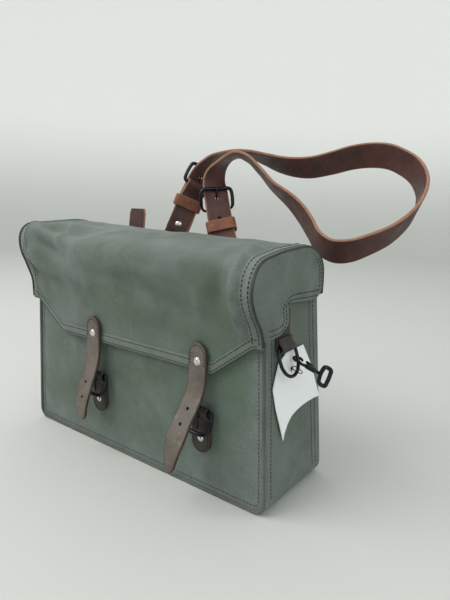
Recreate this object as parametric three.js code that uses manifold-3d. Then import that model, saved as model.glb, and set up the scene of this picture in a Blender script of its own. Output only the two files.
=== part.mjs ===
// Canvas messenger bag with a boxed lid, leather closures and a leather shoulder strap.
// Millimetres. Origin: middle of the flat underside. +X right as seen from the front,
// +Y towards the back, +Z up.
import * as THREE from 'three';
import Module from 'manifold-3d';
import { mergeVertices } from 'three/addons/utils/BufferGeometryUtils.js';

const wasm = await Module();
wasm.setup();

// ---------- driving dimensions ----------
const GAP = 0.3;
const CANVAS = 2;
const LEATHER = 2.6;

const BODY = {
  halfBase: 170, halfTop: 161, topLevel: 186, height: 197, corner: 13,
  front: -52, backBase: 52, backTop: 38,
};
const PIPING_RADIUS = 1.6;

const LID = {
  halfWidth: 168.5, hem: 122, hemCorner: 155, flatHalf: 112, cornerHalf: 158,
  stripHeight: 11, stripThickness: 1.2,
};
// Outer face of the lid in the YZ plane, from the front hem over the top to the back hinge.
const LID_PROFILE = [
  [-57.6, 122], [-58.6, 152], [-62, 172], [-68, 194], [-72, 212], [-71, 224], [-64, 232],
  [-45, 237], [-15, 240], [15, 240], [32, 235], [41, 224], [43, 208], [41.5, 189.5],
];
// Side flap of the lid: heights of its lower edge and the depth of its front tab.
const EAR = { tabFront: 163, tabBack: 170, tabEdge: -21, notch: 190, backBottom: 189.5, back: 30 };
const WELT_RADIUS = 1.2;

const CLOSURE = {
  left: -50.5, right: 96.5, width: 21, thickness: 3, y: -61.7, topZ: 150, rivetZ: 132, hingeZ: 124,
  drift: 0.05,
};
const BUCKLE = { barY: -57.2, barZ: 84, wire: 1.5, halfWidth: 14.5, drop: 21, lean: 6 };
const PRONG_RADIUS = 0.9;
const CHAPE = { width: 22, thickness: 1.6, bottomZ: 41, rivetZ: 55, slot: 3.6 };

// D-ring on each end of the body, in a leather fold, tilted outwards in degrees.
const SIDE = { y: -27, foldZ: 151.5, width: 22, topZ: 184, ring: 14.5, wire: 1.6, tilt: 20 };
const HOOK = { jaw: 4, wire: 1.5, barrel: 2.4, gateWire: 1.3, eyeWire: 1.9, eyeReach: 29, droop: 18 };
const TAG = { gap: 1.2, thickness: 0.7, holeY: -12, holeZ: 128, holeRadius: 2.4, thread: 0.4 };

// Wire loops in leather folds behind the body, and what hangs on them.
const BACK = { barZ: 171, y: 49, loopHeight: 9, loopHalf: 18, wire: 1.5, tabWidth: 26, tabBottom: 122 };
const ANCHOR_X = { left: -54, right: 58, stub: -108 };
const STRAP = { width: 28, thickness: 3.2 };
// At each strap end: distance of one leather layer from the next, and the buckle's sizes.
const LAYER = 3.8;
const SHOULDER_BUCKLE = { barOffset: 7, halfWidth: 17.3, cornerHalf: 15.5, wire: 1.5, prong: 1.1 };
const KEEPER = { halfWidth: 16, halfDepth: 7.2, length: 13, thickness: 1.5 };

// ---------- materials ----------
const finish = (color, roughness, metalness = 0) =>
  new THREE.MeshStandardMaterial({ color, roughness, metalness });
const CANVAS_GREEN = finish(0x5f6a60, 0.85);
const CANVAS_HEM = finish(0x6b7469, 0.8);
const WELT = finish(0x3c423b, 0.8);
const CLOSURE_LEATHER = finish(0x675c54, 0.55);
const STRAP_LEATHER = finish(0x4a2f27, 0.5);
const KEEPER_LEATHER = finish(0x8a4f2c, 0.5);
const BLACK_METAL = finish(0x17171a, 0.35, 0.8);
const NICKEL = finish(0xc9cac8, 0.25, 1);
const PAPER = finish(0xf2f4f3, 0.9);

const bag = new THREE.Group();

function add(name, geometry, material) {
  const mesh = new THREE.Mesh(geometry, material);
  mesh.name = name;
  bag.add(mesh);
  return mesh;
}

const vec = (x, y, z) => new THREE.Vector3(x, y, z);
const lerp = THREE.MathUtils.lerp;
const radians = THREE.MathUtils.degToRad;

// ---------- geometry helpers ----------

// Triangles that close a flat ring of points, all turning the way the ring does.
function capTriangles(ring) {
  const normal = vec(0, 0, 0);
  ring.forEach((p, i) => {
    const q = ring[(i + 1) % ring.length];
    normal.add(p.clone().cross(q));
  });
  normal.normalize();
  const seed = Math.abs(normal.x) < 0.9 ? vec(1, 0, 0) : vec(0, 1, 0);
  const u = seed.cross(normal).normalize();
  const v = normal.clone().cross(u);
  const flat = ring.map((p) => new THREE.Vector2(p.dot(u), p.dot(v)));
  return THREE.ShapeUtils.triangulateShape(flat, []).map(([a, b, c]) => {
    const area = (flat[b].x - flat[a].x) * (flat[c].y - flat[a].y)
      - (flat[c].x - flat[a].x) * (flat[b].y - flat[a].y);
    return area > 0 ? [a, b, c] : [a, c, b];
  });
}

// One closed body through rings of points: capped at both ends, or joined end to start.
function loft(rings, closed = false) {
  const size = rings[0].length;
  const triangles = [];
  const spans = closed ? rings.length : rings.length - 1;
  for (let i = 0; i < spans; i += 1) {
    const low = i * size;
    const high = ((i + 1) % rings.length) * size;
    for (let k = 0; k < size; k += 1) {
      const next = (k + 1) % size;
      triangles.push([low + k, low + next, high + next], [low + k, high + next, high + k]);
    }
  }
  if (!closed) {
    const last = (rings.length - 1) * size;
    capTriangles(rings[0]).forEach(([a, b, c]) => triangles.push([c, b, a]));
    capTriangles(rings[rings.length - 1]).forEach(([a, b, c]) => {
      triangles.push([last + a, last + b, last + c]);
    });
  }
  const points = rings.flat();
  const volume = triangles.reduce(
    (sum, [a, b, c]) => sum + points[a].dot(points[b].clone().cross(points[c])), 0);
  const outward = volume > 0 ? triangles : triangles.map(([a, b, c]) => [a, c, b]);
  const geometry = new THREE.BufferGeometry();
  geometry.setAttribute('position', new THREE.Float32BufferAttribute(
    points.flatMap((p) => [p.x, p.y, p.z]), 3));
  geometry.setIndex(outward.flat());
  geometry.computeVertexNormals();
  return geometry;
}

// A flat band that follows a curve. across gives the width direction at each control point.
function ribbon(points, across, width, thickness, options = {}) {
  const { steps = points.length * 2, closed = false, taper = () => 1 } = options;
  const route = new THREE.CatmullRomCurve3(points, closed, 'centripetal');
  const widths = across.isVector3 ? points.map(() => across) : across;
  const spread = new THREE.CatmullRomCurve3(widths, closed, 'centripetal');
  const count = closed ? steps : steps + 1;
  const rings = [];
  for (let i = 0; i < count; i += 1) {
    const t = i / steps;
    const centre = route.getPoint(t);
    const tangent = route.getTangent(t);
    const side = spread.getPoint(t);
    side.addScaledVector(tangent, -side.dot(tangent)).normalize();
    const normal = tangent.clone().cross(side).normalize();
    side.multiplyScalar(width * taper(t) / 2);
    normal.multiplyScalar(thickness / 2);
    rings.push([
      centre.clone().add(side).add(normal), centre.clone().sub(side).add(normal),
      centre.clone().sub(side).sub(normal), centre.clone().add(side).sub(normal),
    ]);
  }
  return loft(rings, closed);
}

// A round rod through a list of points, one ring at each, or closed on itself.
function rod(points, radius, sides = 6, closed = false) {
  const normal = vec(0, 0, 0);
  const rings = points.map((point, i) => {
    const before = closed ? points.at(i - 1) : points[Math.max(i - 1, 0)];
    const last = points.length - 1;
    const after = closed ? points[(i + 1) % points.length] : points[Math.min(i + 1, last)];
    const tangent = after.clone().sub(before).normalize();
    if (i === 0) {
      normal.copy(Math.abs(tangent.y) < 0.9 ? vec(0, 1, 0) : vec(1, 0, 0));
    }
    normal.addScaledVector(tangent, -normal.dot(tangent)).normalize();
    const binormal = tangent.clone().cross(normal);
    return Array.from({ length: sides }, (_, k) => {
      const angle = (k / sides) * Math.PI * 2;
      return point.clone()
        .addScaledVector(normal, radius * Math.cos(angle))
        .addScaledVector(binormal, radius * Math.sin(angle));
    });
  });
  return loft(rings, closed);
}

function solid(geometry) {
  const bare = new THREE.BufferGeometry();
  bare.setAttribute('position', geometry.getAttribute('position').clone());
  if (geometry.index) {
    bare.setIndex(geometry.index.clone());
  }
  const merged = mergeVertices(bare, 1e-4);
  return new wasm.Manifold(new wasm.Mesh({
    numProp: 3,
    vertProperties: new Float32Array(merged.getAttribute('position').array),
    triVerts: new Uint32Array(merged.index.array),
  }));
}

function fromSolid(body) {
  const result = body.getMesh();
  const geometry = new THREE.BufferGeometry();
  geometry.setAttribute('position', new THREE.Float32BufferAttribute(result.vertProperties, 3));
  geometry.setIndex(new THREE.Uint32BufferAttribute(result.triVerts, 1));
  geometry.computeVertexNormals();
  return geometry;
}

const box = (x0, x1, y0, y1, z0, z1) => new THREE.BoxGeometry(x1 - x0, y1 - y0, z1 - z0)
  .translate((x0 + x1) / 2, (y0 + y1) / 2, (z0 + z1) / 2);

// A low domed rivet head that stands out along a direction, forwards unless told otherwise.
function rivetHead(radius, height, direction = vec(0, -1, 0)) {
  const profile = [[0, 0], [1, 0], [0.9, 0.6], [0.5, 0.95], [0, 1]];
  const points = profile.map(([r, z]) => new THREE.Vector2(r * radius, z * height));
  const turn = new THREE.Quaternion().setFromUnitVectors(vec(0, 1, 0), direction);
  return new THREE.LatheGeometry(points, 10).applyQuaternion(turn);
}

// ---------- canvas body ----------
const halfWidthAt = (z) => lerp(BODY.halfBase, BODY.halfTop, z / BODY.topLevel);
const backAt = (z) => lerp(BODY.backBase, BODY.backTop, z / BODY.topLevel);

// U outline of the body from the top left, round the bottom, to the top right.
function bodyOutline(inset, top = BODY.height, arcSteps = 4) {
  const radius = BODY.corner - inset;
  const right = [];
  for (let i = 0; i <= arcSteps; i += 1) {
    const angle = -Math.PI / 2 + (i / arcSteps) * (Math.PI / 2);
    const x = BODY.halfBase - BODY.corner + radius * Math.cos(angle);
    const z = BODY.corner + radius * Math.sin(angle);
    right.push([x - (BODY.halfBase - halfWidthAt(z)), z]);
  }
  right.push([halfWidthAt(top) - inset, top]);
  const left = right.map(([x, z]) => [-x, z]).reverse();
  return [...left, ...right];
}

const outlineShape = (points) => new THREE.Shape(points.map(([x, z]) => new THREE.Vector2(x, z)));

// Extrudes an XZ outline along Y between two depths.
function slab(points, nearY, farY) {
  const geometry = new THREE.ExtrudeGeometry(outlineShape(points), {
    depth: farY - nearY, bevelEnabled: false,
  });
  return geometry.rotateX(Math.PI / 2).translate(0, farY, 0);
}

// Leans everything behind the middle forwards with height, as the back panel does.
function leanBack(geometry) {
  const position = geometry.getAttribute('position');
  for (let i = 0; i < position.count; i += 1) {
    if (position.getY(i) > 0) {
      position.setY(i, position.getY(i) - (BODY.backBase - backAt(position.getZ(i))));
    }
  }
  return geometry;
}

const panelOutline = bodyOutline(0);
add('front_panel', slab(panelOutline, BODY.front, BODY.front + CANVAS), CANVAS_GREEN);
add('back_panel', leanBack(slab(panelOutline, BODY.backBase - CANVAS, BODY.backBase)), CANVAS_GREEN);

const gussetOutline = [...bodyOutline(0), ...bodyOutline(CANVAS).reverse()];
const gussetNear = BODY.front + CANVAS + GAP;
const gussetFar = BODY.backBase - CANVAS - GAP;
add('gusset', leanBack(slab(gussetOutline, gussetNear, gussetFar)), CANVAS_GREEN);

const pipingPath = bodyOutline(PIPING_RADIUS + GAP, BODY.topLevel);
const frontPipingY = BODY.front - GAP - PIPING_RADIUS;
add('front_piping', rod(pipingPath.map(([x, z]) => vec(x, frontPipingY, z)), PIPING_RADIUS), WELT);
add('back_piping', rod(pipingPath.map(([x, z]) => vec(x, backAt(z) + GAP + PIPING_RADIUS, z)),
  PIPING_RADIUS), WELT);

// ---------- lid ----------

// Lid profile moved inwards by a distance, in the YZ plane.
function lidProfile(offset) {
  return LID_PROFILE.map(([y, z], i) => {
    const [y0, z0] = LID_PROFILE[Math.max(i - 1, 0)];
    const [y1, z1] = LID_PROFILE[Math.min(i + 1, LID_PROFILE.length - 1)];
    const length = Math.hypot(y1 - y0, z1 - z0);
    return [y + ((z1 - z0) / length) * offset, z - ((y1 - y0) / length) * offset];
  });
}

// Height of the front hem at a place along the width: level, then rising to cut corners.
function hemAt(x) {
  const t = (Math.abs(x) - LID.flatHalf) / (LID.cornerHalf - LID.flatHalf);
  return lerp(LID.hem, LID.hemCorner, THREE.MathUtils.clamp(t, 0, 1));
}

// Front face of the lid at a height below its bulge.
function lidFrontAt(z) {
  const index = Math.max(LID_PROFILE.findIndex(([, height]) => height > z), 1);
  const [y0, z0] = LID_PROFILE[index - 1];
  const [y1, z1] = LID_PROFILE[index];
  return lerp(y0, y1, (z - z0) / (z1 - z0));
}

const lidStations = [-LID.halfWidth, -LID.cornerHalf, -LID.flatHalf, -56, 0, 56, LID.flatHalf,
  LID.cornerHalf, LID.halfWidth];

const lidRings = lidStations.map((x) => {
  const hem = hemAt(x);
  const raised = Math.max(hem + 4, LID_PROFILE[1][1]);
  const front = [[lidFrontAt(hem), hem], [lidFrontAt(raised), raised]];
  const outer = [...front, ...lidProfile(0).slice(2)];
  const inner = [...front.map(([y, z]) => [y + CANVAS, z]), ...lidProfile(CANVAS).slice(2)];
  return [...outer, ...inner.reverse()].map(([y, z]) => vec(x, y, z));
});
add('flap_panel', loft(lidRings), CANVAS_GREEN);

add('flap_hem', loft(lidStations.map((x) => {
  const low = hemAt(x) + 0.5;
  const high = low + LID.stripHeight;
  const skin = (z) => lidFrontAt(z) - 2 * GAP;
  return [vec(x, skin(low), low), vec(x, skin(low) - LID.stripThickness, low),
    vec(x, skin(high) - LID.stripThickness, high), vec(x, skin(high), high)];
})), CANVAS_HEM);

const earEdge = lidProfile(CANVAS + GAP).slice(2);
const earOutline = [
  [lidFrontAt(EAR.tabFront) + CANVAS + GAP, EAR.tabFront], ...earEdge,
  [EAR.back, EAR.backBottom], [EAR.tabEdge - 4, EAR.notch], [EAR.tabEdge, EAR.tabBack + 2],
  [EAR.tabEdge - 13, EAR.tabFront],
];
const earOuter = LID.halfWidth - GAP;
const weltX = LID.halfWidth + GAP + WELT_RADIUS;
for (const [side, sign] of [['left', -1], ['right', 1]]) {
  const faces = [earOuter - CANVAS, earOuter].map((x) =>
    earOutline.map(([y, z]) => vec(sign * x, y, z)));
  add(`flap_ear_${side}`, loft(faces), CANVAS_GREEN);
  const weltStart = LID.hemCorner + 3;
  const weltPath = [[lidFrontAt(weltStart) + WELT_RADIUS, weltStart], ...lidProfile(WELT_RADIUS).slice(2)];
  add(`ear_welt_${side}`, rod(weltPath.map(([y, z]) => vec(sign * weltX, y, z)), WELT_RADIUS, 5), WELT);
}

// ---------- front closures ----------
const ACROSS_X = vec(1, 0, 0);

// Hanging part of each closure strap below the hem: forward reach and height. It drifts left.
const CLOSURE_HANG = {
  left: [[0, 122], [0, 108], [-3, 94], [-9, 78], [-14, 62], [-15, 48], [-14, 36]],
  right: [[0, 122], [0, 112], [-3, 101], [-10, 89], [-19, 77], [-26, 64], [-31, 49], [-33, 35]],
};
// Share of the full width along a strap: round at the sewn top, pointed at the free tip.
const rounded = (t) => Math.sqrt(1 - Math.max(0, 0.6 - t) ** 2 * 2.2);
const pointed = (t) => (t > 0.85 ? lerp(1, 0.45, (t - 0.85) / 0.15) : 1);

for (const side of ['left', 'right']) {
  const x = CLOSURE[side];
  add(`closure_tab_${side}`, ribbon(
    [vec(x, CLOSURE.y, CLOSURE.topZ), vec(x, CLOSURE.y, 138), vec(x, CLOSURE.y, CLOSURE.hingeZ + 2.5)],
    ACROSS_X, CLOSURE.width, CLOSURE.thickness, { taper: rounded }), CLOSURE_LEATHER);
  add(`closure_strap_${side}`, ribbon(
    CLOSURE_HANG[side].map(([reach, z]) => vec(x - CLOSURE.drift * (122 - z), CLOSURE.y + reach, z)),
    ACROSS_X, CLOSURE.width, CLOSURE.thickness, { steps: 14, taper: pointed }), CLOSURE_LEATHER);
  add(`closure_rivet_${side}`, rivetHead(4, 1.8)
    .translate(x, CLOSURE.y - CLOSURE.thickness / 2 - GAP, CLOSURE.rivetZ), NICKEL);

  // Leather fold that carries the buckle on its bar, slotted for the prong.
  const { barY, barZ, wire } = BUCKLE;
  const inner = BODY.front - GAP - CHAPE.thickness / 2;
  const outer = inner - CHAPE.thickness - 0.4;
  const fold = [
    [inner, CHAPE.bottomZ], [inner, barZ - 22], [inner, barZ - 10], [barY + 2.4, barZ - 3.5],
    [barY + 2.5, barZ + 0.6], [barY, barZ + 2.8], [barY - 2.5, barZ + 0.6], [barY - 2.4, barZ - 3.5],
    [outer, barZ - 10], [outer, barZ - 22], [outer, CHAPE.bottomZ],
  ];
  const leather = ribbon(fold.map(([y, z]) => vec(x, y, z)), ACROSS_X, CHAPE.width,
    CHAPE.thickness, { steps: 24 });
  const slot = box(x - CHAPE.slot / 2, x + CHAPE.slot / 2, barY - 6, barY + 4.5, barZ - 7.5, barZ + 6);
  add(`buckle_chape_${side}`, fromSolid(solid(leather).subtract(solid(slot))), CLOSURE_LEATHER);
  add(`chape_rivet_${side}`, rivetHead(3.6, 1.6)
    .translate(x, outer - CHAPE.thickness / 2 - GAP, CHAPE.rivetZ), NICKEL);

  // Rounded wire frame hanging from its bar in front of the fold.
  const { halfWidth, drop, lean } = BUCKLE;
  const rightHalf = [[halfWidth, 0], [halfWidth + 0.6, 0.35], [halfWidth - 1, 0.75], [halfWidth - 6, 0.97]];
  const leftHalf = rightHalf.map(([across, down]) => [-across, down]).reverse();
  const frame = [...rightHalf, [0, 1.03], ...leftHalf];
  add(`buckle_frame_${side}`, rod(frame.map(([across, down]) =>
    vec(x + across, barY - lean * down, barZ - drop * down)), wire, 6, true), BLACK_METAL);

  const eye = new THREE.TorusGeometry(2.8, PRONG_RADIUS, 5, 10).rotateY(Math.PI / 2)
    .translate(x, barY, barZ);
  const prong = rod([vec(x, barY - 2.6, barZ - 1), vec(x, barY - 3.6, barZ - 12),
    vec(x, barY - 3.4, barZ - 21)], PRONG_RADIUS, 5);
  add(`buckle_prong_${side}`, fromSolid(solid(eye).add(solid(prong))), BLACK_METAL);
}

// ---------- gusset rings, with the snap hook and paper tag on the right ----------
const tiltDown = [Math.sin(radians(SIDE.tilt)), -Math.cos(radians(SIDE.tilt))];
const barX = halfWidthAt(SIDE.foldZ) + 4.3;

for (const [side, sign] of [['left', -1], ['right', 1]]) {
  const flat = (z) => halfWidthAt(z) + GAP + 1;
  const fold = [[flat(SIDE.topZ), SIDE.topZ], [flat(168), 168], [flat(157), 157], [barX - 2.9, 153.5],
    [barX - 2.9, 150.4], [barX, 148.3], [barX + 2.9, 150.4], [barX + 2.8, 153.5], [flat(157) + 2.7, 157],
    [flat(161) + 2.4, 161]];
  add(`side_chape_${side}`, ribbon(fold.map(([x, z]) => vec(sign * x, SIDE.y, z)),
    vec(0, 1, 0), SIDE.width, 2, { steps: 22 }), STRAP_LEATHER);
  const half = [[12, 0], [14.2, 2.5], [14.5, 10]];
  for (let angle = 15; angle < 90; angle += 15) {
    half.push([SIDE.ring * Math.cos(radians(angle)), 11 + SIDE.ring * Math.sin(radians(angle))]);
  }
  const outline = [...half, [0, 11 + SIDE.ring], ...half.map(([y, down]) => [-y, down]).reverse()];
  const ring = outline.map(([y, down]) =>
    vec(sign * (barX + tiltDown[0] * down), SIDE.y + y, SIDE.foldZ + tiltDown[1] * down));
  add(`side_ring_${side}`, rod(ring, SIDE.wire, 6, true), BLACK_METAL);
}

// Snap hook: its jaw closes round the rear of the right ring and its shank points outwards and down.
const jaw = {
  x: barX + tiltDown[0] * 14, y: SIDE.y + SIDE.ring - 0.3, z: SIDE.foldZ + tiltDown[1] * 14,
};
const droop = radians(HOOK.droop);
const hookPoint = (along, aside, up = 0) => vec(
  jaw.x + along * Math.cos(droop) + up * Math.sin(droop), jaw.y + aside,
  jaw.z - along * Math.sin(droop) + up * Math.cos(droop));
const jawArc = Array.from({ length: 8 }, (_, i) => {
  const angle = radians(40 + i * 38);
  return hookPoint(HOOK.jaw * Math.cos(angle), HOOK.jaw * Math.sin(angle));
});
const hookWire = rod([...jawArc, hookPoint(7, -4.4), hookPoint(14, -2.5), hookPoint(22, -2)], HOOK.wire, 6);
const hookBarrel = rod([hookPoint(9, -3), hookPoint(14, -2.4), hookPoint(20, -2)], HOOK.barrel, 8);
add('snap_hook_body', fromSolid(solid(hookWire).add(solid(hookBarrel))), BLACK_METAL);
add('snap_hook_gate', rod([hookPoint(15.5, 2.4), hookPoint(7.2, 4.2)], HOOK.gateWire, 6), BLACK_METAL);
const eyeOutline = [[-4, 3], [-4, -3], [-2.5, -8], [3, -8], [3.8, -4], [3.8, 4], [3, 8], [-2.5, 8]];
const eyeLoop = eyeOutline.map(([along, up]) => hookPoint(HOOK.eyeReach + along, -2, up));
add('snap_hook_swivel', rod(eyeLoop, HOOK.eyeWire, 6, true), BLACK_METAL);

// Blank paper tag behind the ring, in a plane that leans with the gusset.
const tagOutline = [
  [-35, 138], [-22, 145], [9, 146], [27, 121], [44, 86], [24, 87], [-3, 86], [-18, 79], [-26, 64],
  [-44, 117],
];
const tagFaces = [TAG.gap, TAG.gap + TAG.thickness].map((reach) =>
  tagOutline.map(([y, z]) => vec(halfWidthAt(z) + reach, y, z)));
const tagX = halfWidthAt(TAG.holeZ) + 2;
const tagHole = new THREE.CylinderGeometry(TAG.holeRadius, TAG.holeRadius, 12, 8)
  .rotateZ(Math.PI / 2).translate(tagX, TAG.holeY, TAG.holeZ);
add('tag_card', fromSolid(solid(loft(tagFaces)).subtract(solid(tagHole))), PAPER);

// The thread leaves the hole, passes round the rear of the ring and comes back.
const threadRoute = [
  [165.5, -12.9, 128], [169.5, -18, 131.5], [173.2, -21.4, 134.4], [177.3, -20.6, 133],
  [178.6, -16.4, 128.6], [175.6, -13.9, 126.3], [170.5, -12.3, 126.5], [165.5, -11.1, 128],
];
add('tag_thread', rod(threadRoute.map(([x, y, z]) => vec(x, y, z)), TAG.thread, 5), PAPER);

// ---------- back anchors: leather fold, wire loop, and what hangs on it ----------
for (const [name, x] of Object.entries(ANCHOR_X)) {
  const low = BACK.barZ - BACK.loopHeight;
  const against = (z) => backAt(z) + GAP + 1;
  const fold = [
    [against(BACK.tabBottom), BACK.tabBottom], [against(136), 136], [against(148) + 0.4, 148],
    [BACK.y - 4.2, low - 5], [BACK.y - 3, low], [BACK.y, low + 3.2], [BACK.y + 3, low],
    [BACK.y + 2.2, low - 5], [against(148) + 3, 148], [against(136) + 2.6, 136],
  ];
  add(`anchor_tab_${name}`, ribbon(fold.map(([y, z]) => vec(x, y, z)), ACROSS_X, BACK.tabWidth, 2,
    { steps: 22 }), STRAP_LEATHER);
  const half = BACK.loopHalf;
  const side = half + 1.5;
  const rightHalf = [[half, low], [side, low + 1.5], [side, BACK.barZ - 1.5], [half, BACK.barZ]];
  const leftHalf = rightHalf.map(([dx, z]) => [-dx, z]).reverse();
  const loop = [...rightHalf, ...leftHalf].map(([dx, z]) => vec(x + dx, BACK.y, z));
  add(`anchor_loop_${name}`, rod(loop, BACK.wire, 6, true), BLACK_METAL);
}

// Shoulder strap route from its right tip, over the crest, round the hanging loop, back over the
// crest and down to its left tip. Each row: x, y, z, heading of the width from +X, dip below level.
const STRAP_ROUTE = [
  [48, 50.5, 208, 12, 0], [41, 52.5, 221, 19, 0], [32, 56, 238, 28, 0], [24, 59.5, 255, 36, 0],
  [13, 65, 283, 46, 0], [7, 69, 299, 64, 0], [11, 72, 313, 88, 0], [21, 73, 322, 110, 4],
  [35, 74, 326, 127, 8], [48, 76, 322, 127, 6], [64, 77, 309, 127, 6], [81, 77, 293, 127, 12],
  [105, 78, 276, 127, 30], [120, 76, 263, 127, 42], [133, 70, 251, 125, 50], [148, 60, 238, 122, 52],
  [167, 53, 231, 120, 52], [186, 51, 233, 120, 50], [203, 55, 240, 122, 48], [219, 64, 250, 125, 46],
  [230, 77, 264, 127, 44], [233, 91, 277, 130, 44], [231, 105, 290, 132, 46], [224, 118, 301, 133, 50],
  [213, 131, 311, 132, 54], [197, 143, 320, 130, 58], [179, 150, 327, 128, 62], [159, 152, 329, 127, 64],
  [139, 149, 327, 127, 64], [118, 142, 321, 127, 62], [97, 133, 316, 127, 56], [80, 127, 316, 127, 46],
  [63, 121, 319, 127, 34], [45, 115, 325, 127, 20], [26, 108, 331, 127, 8], [7, 100, 333, 122, 0],
  [-8, 93, 328, 104, 0], [-17, 87, 317, 82, 0], [-24, 81, 302, 56, 0], [-33, 72, 276, 46, 0],
  [-39, 64.5, 252, 36, 0], [-44, 60.5, 236, 28, 0], [-48, 57, 222, 20, 0],
];
const widthDirection = (heading, dip) => vec(
  Math.cos(radians(heading)) * Math.cos(radians(dip)),
  Math.sin(radians(heading)) * Math.cos(radians(dip)), -Math.sin(radians(dip)));
const strapPoints = STRAP_ROUTE.map(([x, y, z]) => vec(x, y, z));
const strapAcross = STRAP_ROUTE.map(([, , , heading, dip]) => widthDirection(heading, dip));
const strapRoute = new THREE.CatmullRomCurve3(strapPoints, false, 'centripetal');
const strapSpread = new THREE.CatmullRomCurve3(strapAcross, false, 'centripetal');

// Each end of the shoulder strap: its tip's and a crest point's place along the route, buckle
// heights, and which side of the strap its buckle strap lies on (1 in front, -1 behind).
const lastRow = STRAP_ROUTE.length - 1;
const STRAP_ENDS = {
  left: { tip: 1, crest: 1 - 6 / lastRow, hinge: 292, top: 311, keeper: 271, rivet: 246, stack: 1 },
  right: { tip: 0, crest: 6 / lastRow, hinge: 268, top: 287, keeper: 248, rivet: 226, stack: -1 },
};

// Centre, width, lengthwise and front face directions of a strap end at a height.
function strapEndAt(end, z) {
  let [low, high] = [end.tip, end.crest];
  for (let i = 0; i < 30; i += 1) {
    const middle = (low + high) / 2;
    if (strapRoute.getPoint(middle).z < z) {
      low = middle;
    } else {
      high = middle;
    }
  }
  const along = strapRoute.getTangent(low).multiplyScalar(Math.sign(end.crest - end.tip));
  const across = strapSpread.getPoint(low);
  across.addScaledVector(along, -across.dot(along)).normalize();
  return { centre: strapRoute.getPoint(low), across, along, face: across.clone().cross(along) };
}

// Turns of a leather end round an anchor loop, from above on the back side to a short front leg.
const LOOP_TURN = [[3.2, 7], [3.2, -0.5], [0, -3.3], [-3.2, -0.5], [-3.2, 6], [-2.8, 13]];
const loopTurn = (x) => LOOP_TURN.map(([dy, dz]) => vec(x, BACK.y + dy, BACK.barZ + dz));

let strapBody = solid(ribbon(strapPoints, strapAcross, STRAP.width, STRAP.thickness, { steps: 84 }));

for (const [side, end] of Object.entries(STRAP_ENDS)) {
  const place = (z, offset) => {
    const { centre, face } = strapEndAt(end, z);
    return centre.addScaledVector(face, offset * end.stack);
  };
  const { hinge, top, keeper, rivet } = end;
  const bar = strapEndAt(end, hinge);
  const nearBar = (rise, offset) => bar.centre.clone()
    .addScaledVector(bar.along, rise).addScaledVector(bar.face, offset * end.stack);

  const lowest = strapRoute.getPoint(end.tip).z + 1;
  const shortLayer = [rivet - 7, rivet + 6, hinge - 20].map((z) => [z, LAYER + 3.2]);
  const longLayer = [hinge - 10, hinge - 20, (hinge - 20 + lowest) / 2, lowest].map((z) => [z, LAYER]);
  const { barOffset, halfWidth, cornerHalf } = SHOULDER_BUCKLE;
  const fold = [[-11, 7.2], [-5, 9.5], [0, 10.7], [3.8, barOffset], [0.5, LAYER - 0.2]];
  const anchorX = ANCHOR_X[side];
  const tail = place(lowest, LAYER);
  const points = [
    ...shortLayer.map(([z, offset]) => place(z, offset)),
    ...fold.map(([rise, offset]) => nearBar(rise, offset)),
    ...longLayer.map(([z, offset]) => place(z, offset)),
    vec(lerp(anchorX, tail.x, 0.4), BACK.y + 3.2, 190), ...loopTurn(anchorX),
  ];
  const across = [
    ...shortLayer.map(([z]) => strapEndAt(end, z).across), ...fold.map(() => bar.across),
    ...longLayer.map(([z]) => strapEndAt(end, z).across),
    ACROSS_X, ...loopTurn(anchorX).map(() => ACROSS_X),
  ];
  add(`buckle_strap_${side}`,
    ribbon(points, across, STRAP.width - 2, LEATHER, { steps: 54 }), STRAP_LEATHER);

  const crest = strapEndAt(end, top);
  const barCentre = nearBar(0, barOffset);
  const crestCentre = place(top, -LAYER);
  const rightHalf = [[cornerHalf, 0], [halfWidth, 0.08], [halfWidth, 0.92], [cornerHalf, 1]];
  const frameCorners = [...rightHalf, ...rightHalf.map(([reach, t]) => [-reach, t]).reverse()];
  const framePoints = frameCorners.map(([reach, t]) => {
    const direction = bar.across.clone().lerp(crest.across, t).normalize();
    return barCentre.clone().lerp(crestCentre, t).addScaledVector(direction, reach);
  });
  add(`shoulder_buckle_${side}`, rod(framePoints, SHOULDER_BUCKLE.wire, 6, true), BLACK_METAL);

  const prongPath = [nearBar(5.8, 6), nearBar(9, 3.4), place(top - 3, -5.8), place(top + 2.5, -7.1)];
  const { prong } = SHOULDER_BUCKLE;
  strapBody = strapBody.subtract(solid(rod(prongPath, prong + 2 * GAP, 6)));
  add(`shoulder_prong_${side}`, rod(prongPath, prong, 6), BLACK_METAL);

  const band = strapEndAt(end, keeper);
  const frontHalf = [[1, 0.7], [0.93, 1], [0, 1.04], [-0.93, 1], [-1, 0.7]];
  const bandCorners = [...frontHalf, ...frontHalf.map(([u, v]) => [-u, -v])];
  const bandPoints = bandCorners.map(([u, v]) => band.centre.clone()
    .addScaledVector(band.across, u * KEEPER.halfWidth)
    .addScaledVector(band.face, end.stack * (3.4 + v * KEEPER.halfDepth)));
  add(`strap_keeper_${side}`, ribbon(bandPoints, band.along, KEEPER.length, KEEPER.thickness,
    { steps: 20, closed: true }), KEEPER_LEATHER);

  const { face } = strapEndAt(end, rivet);
  add(`strap_rivet_${side}`, rivetHead(4, 1.6, face.clone().multiplyScalar(end.stack))
    .translate(...place(rivet, LAYER + 3.2 + LEATHER / 2 + 2 * GAP)), NICKEL);
}
add('shoulder_strap', fromSolid(strapBody), STRAP_LEATHER);

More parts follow.
